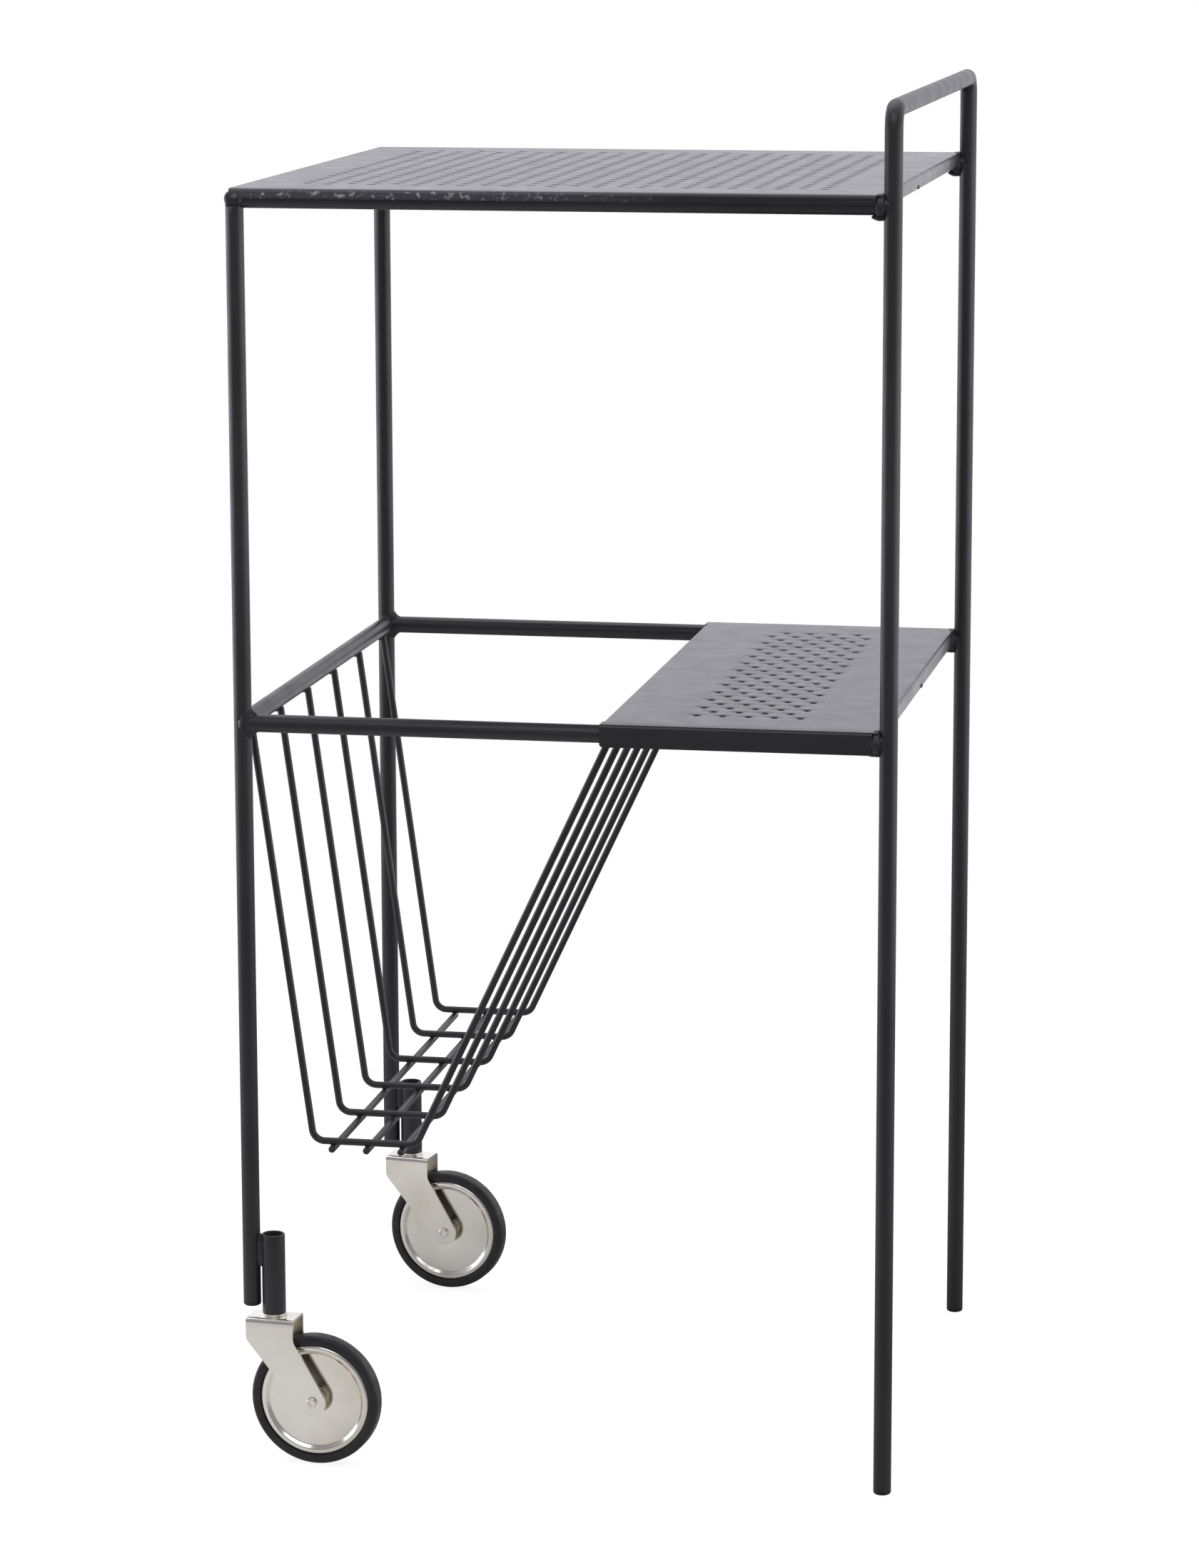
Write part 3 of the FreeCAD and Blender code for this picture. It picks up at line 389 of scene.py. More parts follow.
# %% Straight tubes with saddled ends
TOP_RAIL_Z, MIDDLE_Z, LEG_FOOT = 713.9, 425.0, 90.0
RAIL_END = 2.5


def saddled_tube(first, last, first_met=None, last_met=None):
    """Tube between two axis points. At an end that meets another tube, whose direction is given, each
    point of the section stands back from the axis point by sqrt(R^2 - s^2), s its distance to the
    side."""
    first, last = np.asarray(first, float), np.asarray(last, float)
    along = (last - first) / np.linalg.norm(last - first)
    across = np.roll(np.abs(along), 1)
    over = np.cross(along, across)
    t = round_angles(AROUND)[:, None]
    out = np.cos(t) * across + np.sin(t) * over

    def back(met):
        """How far each point of an end stands back."""
        if met is None:
            return np.zeros((AROUND, 1))
        side = TUBE * out @ np.cross(along, met)
        return np.sqrt(np.maximum(TUBE ** 2 - side ** 2, 0))[:, None]

    start = first + TUBE * out + along * back(first_met)
    end = last + TUBE * out - along * back(last_met)
    middle = np.linspace(0, 1, 5)[:, None, None]
    sides = start * (1 - middle) + end * middle
    poles = [np.broadcast_to(spot, (1, AROUND, 3)) for spot in (first + along * TUBE, last - along * TUBE)]
    return surface(np.concatenate([poles[0], sides, poles[1]]), around=True)


print("Rails at", TOP_RAIL_Z, "and", MIDDLE_Z, "mm")

# %% The legs and the rails
ROWS = (("front", -LEG_Y), ("rear", LEG_Y))
for row, row_y in ROWS:
    leg = saddled_tube((-LEG_X, row_y, LEG_FOOT + PLUG_RIM), (-LEG_X, row_y, TOP_RAIL_Z), None, Y)
    frame_piece(f"{row}_left_leg_tube", [leg], f"{row}_left_leg")
    top = saddled_tube((-LEG_X, row_y, TOP_RAIL_Z), (LEG_X, row_y, TOP_RAIL_Z), Y, Z)
    frame_piece(f"top_{row}_rail_tube", [top], f"top_{row}_rail")
    middle_rail = saddled_tube((-LEG_X, row_y, MIDDLE_Z), (LEG_X, row_y, MIDDLE_Z), Z, Z)
    frame_piece(f"middle_{row}_rail_tube", [middle_rail], f"middle_{row}_rail")
rail_y = LEG_Y + RAIL_END
top_left_rail = saddled_tube((-LEG_X, -rail_y, TOP_RAIL_Z), (-LEG_X, rail_y, TOP_RAIL_Z))
frame_piece("top_left_rail_tube", [top_left_rail], "top_left_rail")
middle_left_rail = saddled_tube((-LEG_X, -LEG_Y, MIDDLE_Z), (-LEG_X, LEG_Y, MIDDLE_Z), Z, Z)
frame_piece("middle_left_rail_tube", [middle_left_rail], "middle_left_rail")

# %% [markdown]
# ## Turned pieces
# Plugs, caps, sockets, stems and wheels are round about an axis. The Screw modifier could turn them, but
# a formula keeps their place in the mesh: a profile of radius and height, swung once round the axis. Each
# corner of a profile gets its own small rounding, because no pressed or moulded edge is quite sharp.

# %% Turning a profile
def rounded_loop(corners, bends):
    """Closed profile with every corner rounded by its own bend."""
    middle = (np.asarray(corners[0], float) + corners[-1]) / 2
    return bent_path([middle, *corners, middle], bends, 6)[0]


def ring_profile(inner, outer, low, high, bends):
    """Profile of a ring or sleeve: a rectangle between two radii and two heights, with rounded corners."""
    return rounded_loop([(inner, low), (outer, low), (outer, high), (inner, high)], bends)


def turned(profile, spot, axis, start, count=64):
    """Profile of radius and height swung round an axis: point = spot + height * axis + radius * (cos t *
    start + sin t * (axis x start))."""
    radius, height = np.maximum(profile[:, :1, None], 0), profile[:, 1:, None]
    t = round_angles(count)[None, :, None]
    over = np.cross(axis, start)
    return surface(spot + height * axis + radius * (np.cos(t) * start + np.sin(t) * over), around=True)


print("A rounded ring section has", len(ring_profile(1, 2, 0, 1, 0.1)), "points")

# %% Plugs of the legs and caps of the upper left rail
BORE, PLUG_SLACK, PLUG_ROUND, PLUG_DEPTH = 3.8, 0.05, 1.6, 12.0
shaft, shaft_top = BORE - PLUG_SLACK, PLUG_RIM + PLUG_DEPTH
plug_corners = [(0, 0), (TUBE, 0), (TUBE, PLUG_RIM), (shaft, PLUG_RIM), (shaft, shaft_top), (0, shaft_top)]
plug_profile = bent_path(plug_corners, [PLUG_ROUND, 0.2, 0.1, 0.8])[0]
plug_spots = {"front_right_foot": (LEG_X, -LEG_Y, 0), "rear_right_foot": (LEG_X, LEG_Y, 0),
              "front_left_plug": (-LEG_X, -LEG_Y, LEG_FOOT), "rear_left_plug": (-LEG_X, LEG_Y, LEG_FOOT)}
for name, spot in plug_spots.items():
    plug = turned(plug_profile, np.array(spot), Z, X, count=48)
    make_piece(f"{name}_moulding", "frame", plastic, [plug], [name])
CAP, CAP_ROUND, CAP_ROOT = 3.0, 2.95, -1.0
cap_corners = [(0, CAP_ROOT), (TUBE, CAP_ROOT), (TUBE, CAP), (0, CAP)]
cap_profile = bent_path(cap_corners, [0.3, CAP_ROUND], steps=14)[0]
for row, way in (("front", -1), ("rear", 1)):
    cap = turned(cap_profile, np.array((-LEG_X, way * rail_y, TOP_RAIL_Z)), way * Y, X, count=48)
    frame_piece(f"{row}_rail_end_cap", [cap], f"{row}_rail_cap")

# %% [markdown]
# ## Weld fillets
# Each joint of two tubes has a fillet weld under the paint: a ring that rises from the rail onto the leg,
# with the small ripples of the puddle. It could be sculpted, but its toe follows the same saddle formula
# as the tube ends, so it is a ring of sections whose reach changes round the joint: wide above and below,
# slim at the sides. On the handle side the rail ends were also run round with a thick bead, and a drop of
# it hangs under each rail. A drop is an uneven ellipsoid. All the drops of a kind are one array: the same
# grid of angles at every place.

# %% A fillet weld round a saddle joint
WELD_FRACTIONS = np.array([-0.15, 0, 0.2, 0.4, 0.6, 0.8, 1.0, 1.2])
WELD_STEPS, RIPPLE, BACK_RIPPLE, HOLLOW = 72, 0.07, 0.05, 1.6
ROOT_SINK, TOE_SHARE, TOE_SINK, TOE_DEPTH = 0.7, 0.5, 0.6, 1.4


def fillet_weld(spot, into, main, reaches, swell, seed):
    """Ring of weld where a tube running into another one ends. At angle t round the tube its reach goes
    from the side value to the upper or lower one with sin(t)^2. A share f of the way up the fillet the
    ring lies reach * (1 - f) back from the met tube and reach * f^1.6 out from the tube. Below 0 and
    above 1 it is sunk into the two tubes."""
    upper, side, lower = reaches
    t = round_angles(WELD_STEPS)[None, :]
    f = WELD_FRACTIONS[:, None]
    share = np.clip(f, 0, 1)
    high, deep = np.maximum(np.sin(t), 0) ** 2, np.maximum(-np.sin(t), 0) ** 2
    reach = side + (upper - side) * high + (lower - side) * deep
    wave = np.sin(15 * t + 2 * np.sin(3 * t + seed) + seed) + 0.6 * np.sin(7 * t - 1.7 * seed)
    ripple = RIPPLE * wave * 4 * share * (1 - share)
    toe = TUBE + swell + TOE_SHARE * reach - TOE_SINK
    out = TUBE + swell + reach * share ** HOLLOW + ripple
    out = np.where(f < 0, TUBE - ROOT_SINK, np.where(f > 1, toe, out))
    back = reach * (1 - share) * (1 + BACK_RIPPLE * wave) - np.where(f > 1, TOE_DEPTH, 0.0)
    sideways = np.cross(main, into)
    stand = np.sqrt(np.maximum(TUBE ** 2 - (out * np.cos(t)) ** 2, 0))
    points = (np.asarray(spot, float) - ((stand + back) * np.ones_like(t))[..., None] * into
              + (out * np.cos(t))[..., None] * sideways + (out * np.sin(t))[..., None] * main)
    return surface(points, around=True, closed=True)


print("Weld rings of", WELD_STEPS, "by", len(WELD_FRACTIONS), "points")

# %% Beads and drops of weld
BEAD_SECTION = rounded_loop([(4.6, -8.8), (6.5, -8.8), (6.9, -4.2), (4.6, -4.2)], [0.2, 1.3, 1.0, 0.2])
BEAD_WAVE, DROP_SIZE, DROP_SPOT = 0.09, (5.0, 3.0, 2.0), np.array((-7.0, 0, -6.0))
DROP_ROWS, DROP_COLUMNS, DROP_SHIFT = 9, 14, 2.4


def weld_bead(spot, seed):
    """Ring of weld about the end of a rail: a rounded section swung round the rail, its radius waved by
    two sines of the angle."""
    t = round_angles(WELD_STEPS)[None, :]
    wave = np.sin(5 * t + seed) + 0.6 * np.sin(9 * t - 1.7 * seed)
    radius = (BEAD_SECTION[:, :1] + BEAD_WAVE * wave)[..., None]
    along = (BEAD_SECTION[:, 1:] * np.ones_like(t))[..., None]
    outward = np.cos(t)[..., None] * Y + np.sin(t)[..., None] * Z
    return surface(spot + along * X + radius * outward, around=True)


def sphere_grid(rows, columns):
    """Angle a from pole to pole, angle b once round, and the direction (sin a cos b, sin a sin b, cos
    a)."""
    a, b = np.linspace(0, np.pi, rows)[:, None], round_angles(columns)[None, :]
    return a, b, np.stack([np.sin(a) * np.cos(b), np.sin(a) * np.sin(b), np.cos(a) + 0 * b], -1)


def weld_drops(places, sizes, seed):
    """Uneven ellipsoids: point = place + size * (1 + bumps) * direction, the direction from two angles
    and the bumps a sum of sines of these angles, turned by a different amount at each place."""
    places = np.asarray(places, float)[:, None, None]
    a, b, direction = sphere_grid(DROP_ROWS, DROP_COLUMNS)
    shift = seed + DROP_SHIFT * np.arange(len(places))[:, None, None]
    bumps = 1 + 0.12 * np.sin(3 * b + shift) * np.sin(a) + 0.08 * np.sin(4 * a + shift) * np.sin(a)
    points = places + np.asarray(sizes, float) * bumps[..., None] * direction
    return [surface(drop, around=True) for drop in points]


print("Bead section of", len(BEAD_SECTION), "points")

# %% The welds of the frame
CORNER_REACH, LEG_REACH = (1.0, 0.5, 1.0), (2.2, -0.9, 2.2)
SLIM_REACH, LEFT_REACH, THIN_REACH = (0.9, 0.2, 1.2), (3.4, 1.2, 3.4), (1.4, -0.9, 3.0)
top_welds, middle_welds = [], []
for number, row_y in enumerate((-LEG_Y, LEG_Y)):
    outward = np.sign(row_y) * Y
    top_left, middle_left = [np.array((-LEG_X, row_y, rail_z)) for rail_z in (TOP_RAIL_Z, MIDDLE_Z)]
    top_welds += [fillet_weld(top_left, -X, Y, CORNER_REACH, swell=0.05, seed=2.0 + number),
                  fillet_weld(top_left, Z, Y, LEG_REACH, swell=0.0, seed=3.0 + number)]
    middle_welds += [fillet_weld(middle_left, -X, Z, LEFT_REACH, swell=0.25, seed=5.0 + number),
                     fillet_weld(middle_left, outward, Z, THIN_REACH, swell=0.0, seed=6.0 + number)]
    for welds, rail_z, first in ((top_welds, TOP_RAIL_Z, 1.0), (middle_welds, MIDDLE_Z, 4.0)):
        corner, seed = np.array((LEG_X, row_y, rail_z)), first + number
        welds += [fillet_weld(corner, X, Z, SLIM_REACH, swell=0.3, seed=seed), weld_bead(corner, seed)]
        welds += weld_drops([corner + DROP_SPOT], DROP_SIZE, seed)
frame_piece("top_corner_weld_fillets", top_welds, "top_corner_welds")
frame_piece("middle_corner_weld_fillets", middle_welds, "middle_corner_welds")

# %% [markdown]
# ## Perforated sheets
# Plate and shelf are punched in a triangular grid, notched at the corners and folded on a press brake. An
# array of cutters and a boolean is the usual way, and leaves long slivers. Here the blank is laid out
# flat: each hole has its own rectangular cell, two rings of quads from sixteen points on its edge to
# sixteen round the hole, the inner ring drawn down a little as by the punch. Neighbouring columns are
# half a cell apart, so their edge points meet. Then the blank is folded by formula.

# %% The points of one punched cell
HOLE, PITCH, ROLL, ROLL_DROP = 2.0, 14.4, 0.65, 0.38
STEP = PITCH * np.sqrt(3) / 2
QUARTER = 4
RING_POINTS = 4 * QUARTER
RING = round_angles(RING_POINTS) - np.pi / 4
side_walk = np.arange(QUARTER) / QUARTER - 0.5
half = np.full(QUARTER, 0.5)
CELL_EDGE = np.concatenate([np.stack(pair, -1) for pair in (
    (half, side_walk), (-side_walk, half), (-half, -side_walk), (side_walk, -half))])


def flat_patch(first, second):
    """Plain grid between two lists of lines in the plane."""
    a, b = np.meshgrid(first, second, indexing="ij")
    return surface(np.stack([a, b, np.zeros_like(a)], -1))


print("Cell of", round(STEP, 2), "by", PITCH, "mm with a hole of", 2 * HOLE, "mm")

# %% A field of punched cells
def hole_field(columns, longest, first_is_long):
    """Cells of a step by a pitch about the origin, each with a round hole whose rim the punch has drawn
    down a little. Every other column has one hole less and a plain half cell at both ends. Also gives the
    lines on which the field's edge points lie."""
    places = (np.arange(columns) - (columns - 1) / 2) * STEP
    counts = np.where((np.arange(columns) % 2 == 0) == first_is_long, longest, longest - 1)
    centres = np.concatenate([
        np.stack([np.full(count, place), (np.arange(count) - (count - 1) / 2) * PITCH], -1)
        for place, count in zip(places, counts)])
    edge = centres[:, None] + CELL_EDGE * (STEP, PITCH)
    outward = np.stack([np.cos(RING), np.sin(RING)], -1)
    rolled, rim = [centres[:, None] + radius * outward for radius in (HOLE + ROLL, HOLE)]
    rings = np.stack([edge, rolled, rim], 1)
    drop = np.broadcast_to(np.array([0, 0, -ROLL_DROP])[:, None, None], rings[..., :1].shape)
    points = np.concatenate([rings, drop], -1).reshape(-1, 3)
    here = np.arange(RING_POINTS)
    after = (here + 1) % RING_POINTS
    outer = RING_POINTS * np.arange(2)[:, None]
    inner = outer + RING_POINTS
    quads = np.stack([outer + here, outer + after, inner + after, inner + here], -1).reshape(-1, 4)
    starts = 3 * RING_POINTS * np.arange(len(centres))[:, None, None]
    patches = [(points, (quads + starts).reshape(-1, 4))]
    end = longest * PITCH / 2
    cell_lines = np.arange(QUARTER + 1) / QUARTER - 0.5
    for place in places[counts < longest]:
        for low, high in ((-end, PITCH / 2 - end), (end - PITCH / 2, end)):
            patches.append(flat_patch(place + cell_lines * STEP, np.linspace(low, high, QUARTER // 2 + 1)))
    across = np.linspace(-columns * STEP / 2, columns * STEP / 2, QUARTER * columns + 1)
    along = np.linspace(-end, end, QUARTER * longest + 1)
    return patches, across, along


print("A field of 2 columns has", len(hole_field(2, 3, True)[0]), "patches")

# %% Folding a flange
SHEET, BEND, RELIEF = 1.0, 2.0, 3.4
SHEET_RIGHT, SHEET_SIDE, LIP_END, TAB_SIDE = 174.9, 181.1, 169.9, 180.0
FLANGE_CORNER = 2.0
BEND_RUN = BEND * np.pi / 2


def folded_down(past):
    """Outward reach and drop of a point that lies so far past the start of a fold: along a quarter circle
    of the bend's radius, then straight down."""
    turn = np.clip(past, 0, BEND_RUN) / BEND
    return BEND * np.sin(turn), BEND * (1 - np.cos(turn)) + np.maximum(past - BEND_RUN, 0)


def flange(lines, start, way, depth, along_x):
    """Folded strip along some lines. Its length on the blank is the bend's arc and the straight depth,
    and its lower corners are rounded by drawing the end lines in along a circle."""
    total = BEND_RUN + depth - BEND
    corner = total - FLANGE_CORNER
    rounding = FLANGE_CORNER * np.sin(np.linspace(0, np.pi / 2, 7)[1:])
    straight = np.linspace(BEND_RUN, corner, 3)[1:]
    past = np.concatenate([np.linspace(0, BEND_RUN, 6), straight, corner + rounding])
    low = np.maximum(past - corner, 0)
    trim = FLANGE_CORNER - np.sqrt(np.maximum(FLANGE_CORNER ** 2 - low ** 2, 0))
    span = np.clip(lines[:, None], lines[0] + trim, lines[-1] - trim)
    reach, drop = folded_down(past)
    out = np.broadcast_to(way * (start + reach), span.shape)
    pair = (span, out) if along_x else (out, span)
    return surface(np.stack([*pair, np.broadcast_to(-drop, span.shape)], -1))


print("A fold takes", round(BEND_RUN, 2), "mm of the blank")

# %% The blank with its folds
def punched_sheet(left, middle_x, depth, side_depth, left_lip, columns, longest, first_is_long, swap):
    """Blank of a sheet, folded: the hole field, the plain border round it, corner tabs and flanges."""
    patches, across, along = hole_field(columns, longest, first_is_long)
    if swap:
        patches = [(points[:, [1, 0, 2]], quads) for points, quads in patches]
        across, along = along, across
    patches = [(points + middle_x * X, quads) for points, quads in patches]
    end_x = SHEET_RIGHT - RELIEF
    flat_left = left + BEND if left_lip else left
    flat_right, flat_y = SHEET_RIGHT - BEND, SHEET_SIDE - BEND
    field_x, field_y = across + middle_x, along
    left_x, right_x = np.array([flat_left, field_x[0]]), np.array([field_x[-1], end_x, flat_right])
    front_y = np.array([-flat_y, -LIP_END, field_y[0]])
    for lines_x in (left_x, field_x, right_x):
        for lines_y in (front_y, field_y, -front_y[::-1]):
            if lines_x is not field_x or lines_y is not field_y:
                patches.append(flat_patch(lines_x, lines_y))
    fold_x = np.unique(np.concatenate([[left], left_x, field_x, [end_x]]))
    tabs = [((end_x, flat_right, SHEET_RIGHT), (flat_y, TAB_SIDE)),
            ((flat_right, SHEET_RIGHT), (LIP_END, flat_y))]
    if left_lip:
        tabs.append(((left, flat_left), (LIP_END, flat_y)))
    for way in (-1, 1):
        patches += [flat_patch(xs, way * np.array(ys)) for xs, ys in tabs]
        patches.append(flange(fold_x, flat_y, way, depth, True))
    lip_y = np.unique(np.concatenate([[-LIP_END], field_y, [LIP_END]]))
    patches.append(flange(lip_y, flat_right, 1, side_depth, False))
    if left_lip:
        patches.append(flange(lip_y, -flat_left, -1, side_depth, False))
    return patches


print("Sheets reach", SHEET_RIGHT, "mm to the right and", SHEET_SIDE, "mm to the sides")

# %% The top plate and the half shelf
TOP_Z, TOP_LEFT, TOP_MIDDLE, TOP_FLANGE = 720.0, -181.6, -4.8, 5.5
SHELF_Z, SHELF_LEFT, SHELF_FLANGE, SIDE_FLANGE = 431.1, 21.8, 12.5, 7.5
HOLE_COLUMNS, TOP_HOLES, SHELF_HOLES = 24, 21, 5
shelf_middle = (SHELF_LEFT + SHEET_RIGHT) / 2
top_blank = punched_sheet(TOP_LEFT, TOP_MIDDLE, TOP_FLANGE, SIDE_FLANGE, left_lip=False,
                          columns=HOLE_COLUMNS, longest=TOP_HOLES, first_is_long=False, swap=False)
make_piece("top_plate_sheet", "frame", sheet_coat,
           [(points + TOP_Z * Z, quads) for points, quads in top_blank], ["top_plate"], SHEET)
shelf_blank = punched_sheet(SHELF_LEFT, shelf_middle, SHELF_FLANGE, SIDE_FLANGE, left_lip=True,
                            columns=HOLE_COLUMNS, longest=SHELF_HOLES, first_is_long=True, swap=True)
make_piece("half_shelf_sheet", "frame", sheet_coat,
           [(points + SHELF_Z * Z, quads) for points, quads in shelf_blank], ["half_shelf"], SHEET)

# %% [markdown]
# ## Wire basket
# Six wires are bent alike on a jig, cut flat under the left rail and welded to the shelf, and three
# straight runners with rounded ends lie under their floor. They are bars along bent paths, as the handle
# is.

# %% Basket wires and runners
WIRE, WIRE_BEND, WIRE_COUNT, WIRE_REACH = 2.0, 7.0, 6, 160.0
WIRE_TOP, WIRE_END = (-179.5, 425.0), (29.3, 431.1)
BASKET_Z, BASKET_LEFT, BASKET_RIGHT = 183.7, -146.6, -87.4
RAIL_BITE, WIRE_GAP, TAIL_DROP = 0.1, 0.05, 1.0
CUT_Z, SHELF_UNDER = MIDDLE_Z - TUBE + RAIL_BITE, SHELF_Z - SHEET - WIRE_GAP
tail_z = SHELF_UNDER - TAIL_DROP
lean = (BASKET_LEFT - WIRE_TOP[0]) / (WIRE_TOP[1] - BASKET_Z)
slope = (WIRE_END[0] - BASKET_RIGHT) / (WIRE_END[1] - BASKET_Z)
wire_tip = (WIRE_TOP[0] + lean * (WIRE_TOP[1] - CUT_Z), CUT_Z)
wire_tail = (WIRE_END[0] - slope * (WIRE_END[1] - tail_z), tail_z)
wire_corners = [wire_tip, (BASKET_LEFT, BASKET_Z), (BASKET_RIGHT, BASKET_Z), wire_tail]
wire_path = bent_path(wire_corners, WIRE_BEND, steps=12)
wire_places = np.linspace(-WIRE_REACH, WIRE_REACH, WIRE_COUNT)
for number, wire_y in enumerate(wire_places, start=1):
    wire = closed_bar(wire_path, X, Z, wire_y * Y, Y, WIRE, count=24)
    frame_piece(f"basket_bent_wire_{number}", [wire], f"basket_wire_{number}")
RUNNER_Z, RUNNER_HALF = BASKET_Z - 2 * WIRE - WIRE_GAP, 163.0
RUNNER_INSET, RUNNER_PITCH, RUNNER_COUNT = 11.1, 19.9, 3
nose = np.linspace(0, np.pi / 2, 8)
runner_profile = np.concatenate([
    np.stack([WIRE * np.sin(nose), -RUNNER_HALF - WIRE * np.cos(nose)], -1),
    np.stack([WIRE * np.cos(nose), RUNNER_HALF + WIRE * np.sin(nose)], -1)])
runner_places = BASKET_LEFT + RUNNER_INSET + RUNNER_PITCH * np.arange(RUNNER_COUNT)
for number, runner_x in enumerate(runner_places, start=1):
    bar = turned(runner_profile, np.array((runner_x, 0, RUNNER_Z)), Y, X, count=24)
    frame_piece(f"basket_runner_rod_{number}", [bar], f"basket_runner_{number}")

# %% [markdown]
# ## Weld drops
# Each wire end is held by a drop of weld, and so is each crossing with a runner. Two small tacks sit
# under the right flanges of the sheets. All are the same uneven ellipsoids as under the rails.

# %% Drops of weld on the basket
RAIL_DROP, SHELF_DROP, CROSS_DROP, TACK = (1.9, 2.2, 1.9), (3.1, 2.9, 1.2), (1.5, 1.5, 0.7), (0.8, 2.6, 1.2)
DROP_LEFT, DROP_LOW = 2.4, 0.9
TACK_SPOTS = [(SHEET_RIGHT, 12, 424.4), (SHEET_RIGHT, -25, 713.4)]


def row_of_spots(x, z):
    """One spot at each wire of the basket, at the same X and height."""
    return np.stack([np.full(WIRE_COUNT, x), wire_places, np.full(WIRE_COUNT, z)], -1)


rail_drops = weld_drops(row_of_spots(wire_tip[0] - DROP_LEFT, CUT_Z - DROP_LOW), RAIL_DROP, seed=0.4)
frame_piece("basket_rail_weld_drops", rail_drops, "basket_rail_welds")
shelf_drops = weld_drops(row_of_spots(wire_tail[0], SHELF_UNDER - DROP_LOW), SHELF_DROP, seed=1.3)
cross_x, cross_y = np.meshgrid(runner_places, wire_places)
cross_spots = np.stack([cross_x, cross_y, np.full_like(cross_x, BASKET_Z - WIRE)], -1).reshape(-1, 3)
shelf_drops += weld_drops(cross_spots, CROSS_DROP, seed=2.2) + weld_drops(TACK_SPOTS, TACK, seed=3.1)
frame_piece("shelf_weld_drops", shelf_drops, "basket_shelf_welds")

# %% [markdown]
# ## Caster sockets and stems
# Beside each left leg stands a short open tube, joined to the leg by a web of weld near its top. The
# caster's stem goes into it from below. Socket, stem and washer are turned. The web is a superellipsoid:
# flat between the two tubes and round at its upper and lower end.

# %% Profiles of socket, stem and washer
SOCKET, SOCKET_BORE, SOCKET_X, SOCKET_TOP = 6.6, 5.4, -167.3, 132.3
COLLAR, COLLAR_TOP, COLLAR_LOW, NECK = 7.0, 86.3, 85.2, 4.0
SHANK, SHANK_TOP, RIVET, RIVET_TOP, RIVET_LOW = 5.35, 125.3, 6.0, 82.9, 80.9
WASHER, WASHER_BORE, WASHER_TOP, FORK_TOP = 7.5, NECK + 0.05, 85.1, 84.5
socket_profile = ring_profile(SOCKET_BORE, SOCKET, COLLAR_TOP, SOCKET_TOP, [0.15, 0.5, 0.5, 0.5])
stem_profile = bent_path([(0, SHANK_TOP), (SHANK, SHANK_TOP), (SHANK, COLLAR_TOP), (COLLAR, COLLAR_TOP),
                          (COLLAR, COLLAR_LOW), (NECK, COLLAR_LOW), (NECK, RIVET_TOP), (RIVET, RIVET_TOP),
                          (RIVET, RIVET_LOW), (0, RIVET_LOW)],
                         [0.6, 0.05, 0.35, 0.35, 0.05, 0.05, 0.3, 0.9], 6)[0]
washer_profile = ring_profile(WASHER_BORE, WASHER, FORK_TOP, WASHER_TOP, 0.2)


print("Socket of", 2 * SOCKET, "mm on a stem of", 2 * SHANK, "mm")

# %% Sockets, webs of weld, stems and washers
WEB_X, WEB_MIDDLE, WEB_HALF = -174.45, 122.4, (2.6, 3.0, 9.4)
WEB_POWER, WEB_BEADS, WEB_RIPPLE, WEB_ROWS, WEB_COLUMNS = 0.5, 14, 0.05, 33, 40


def weld_web(spot, halves, seed):
    """Superellipsoid: each coordinate is its half size times the signed 0.5 power of the sphere's, with a
    ripple along its height like laid beads."""
    sphere = sphere_grid(WEB_ROWS, WEB_COLUMNS)[2]
    box_like = np.sign(sphere) * np.abs(sphere) ** WEB_POWER
    height = box_like[..., 2]
    ripple = 1 + WEB_RIPPLE * np.sin(WEB_BEADS * height + seed) * (1 - np.abs(height))
    points = box_like * np.stack([ripple, ripple, np.ones_like(ripple)], -1) * np.asarray(halves)
    return surface(np.asarray(spot, float) + points, around=True)


for number, (row, row_y) in enumerate(ROWS):
    foot = np.array((SOCKET_X, row_y, 0))
    socket, stem, washer = [turned(profile, foot, Z, X)
                            for profile in (socket_profile, stem_profile, washer_profile)]
    web = weld_web((WEB_X, row_y, WEB_MIDDLE), WEB_HALF, seed=1.0 + number)
    frame_piece(f"{row}_socket_tube", [socket], f"{row}_socket")
    frame_piece(f"{row}_socket_weld_web", [web], f"{row}_socket_weld")
    make_piece(f"{row}_caster_stem", "frame", plating, [stem], [f"{row}_stem"])
    make_piece(f"{row}_washer", f"{row}_caster", plating, [washer], [f"{row}_swivel_washer"])

# %% [markdown]
# ## Forks
# A fork is one pressed strip folded into a bridge: two cheeks that narrow to the axle and a top between
# them. It is a surface of two parameters. One runs along the folded strip, up a cheek, over the top and
# down. The other runs across it, between the two edges of the cheek's outline at that height.

# %% The edges of a cheek
WHEEL, TRAIL, FORK_SIDE, FORK_BEND, FORK_SHEET = 37.5, 24.7, 9.5, 2.5, 1.5
CHEEK_HALF, SHOULDER_Z, SHOULDER_ROUND, HUB_END = 14.0, 72.0, 6.0, 8.0
CURVE_LOW, CURVE_HIGH = SHOULDER_Z - 8, SHOULDER_Z + 6
YAW = {"front": np.radians(-4.6), "rear": np.radians(-8.1)}


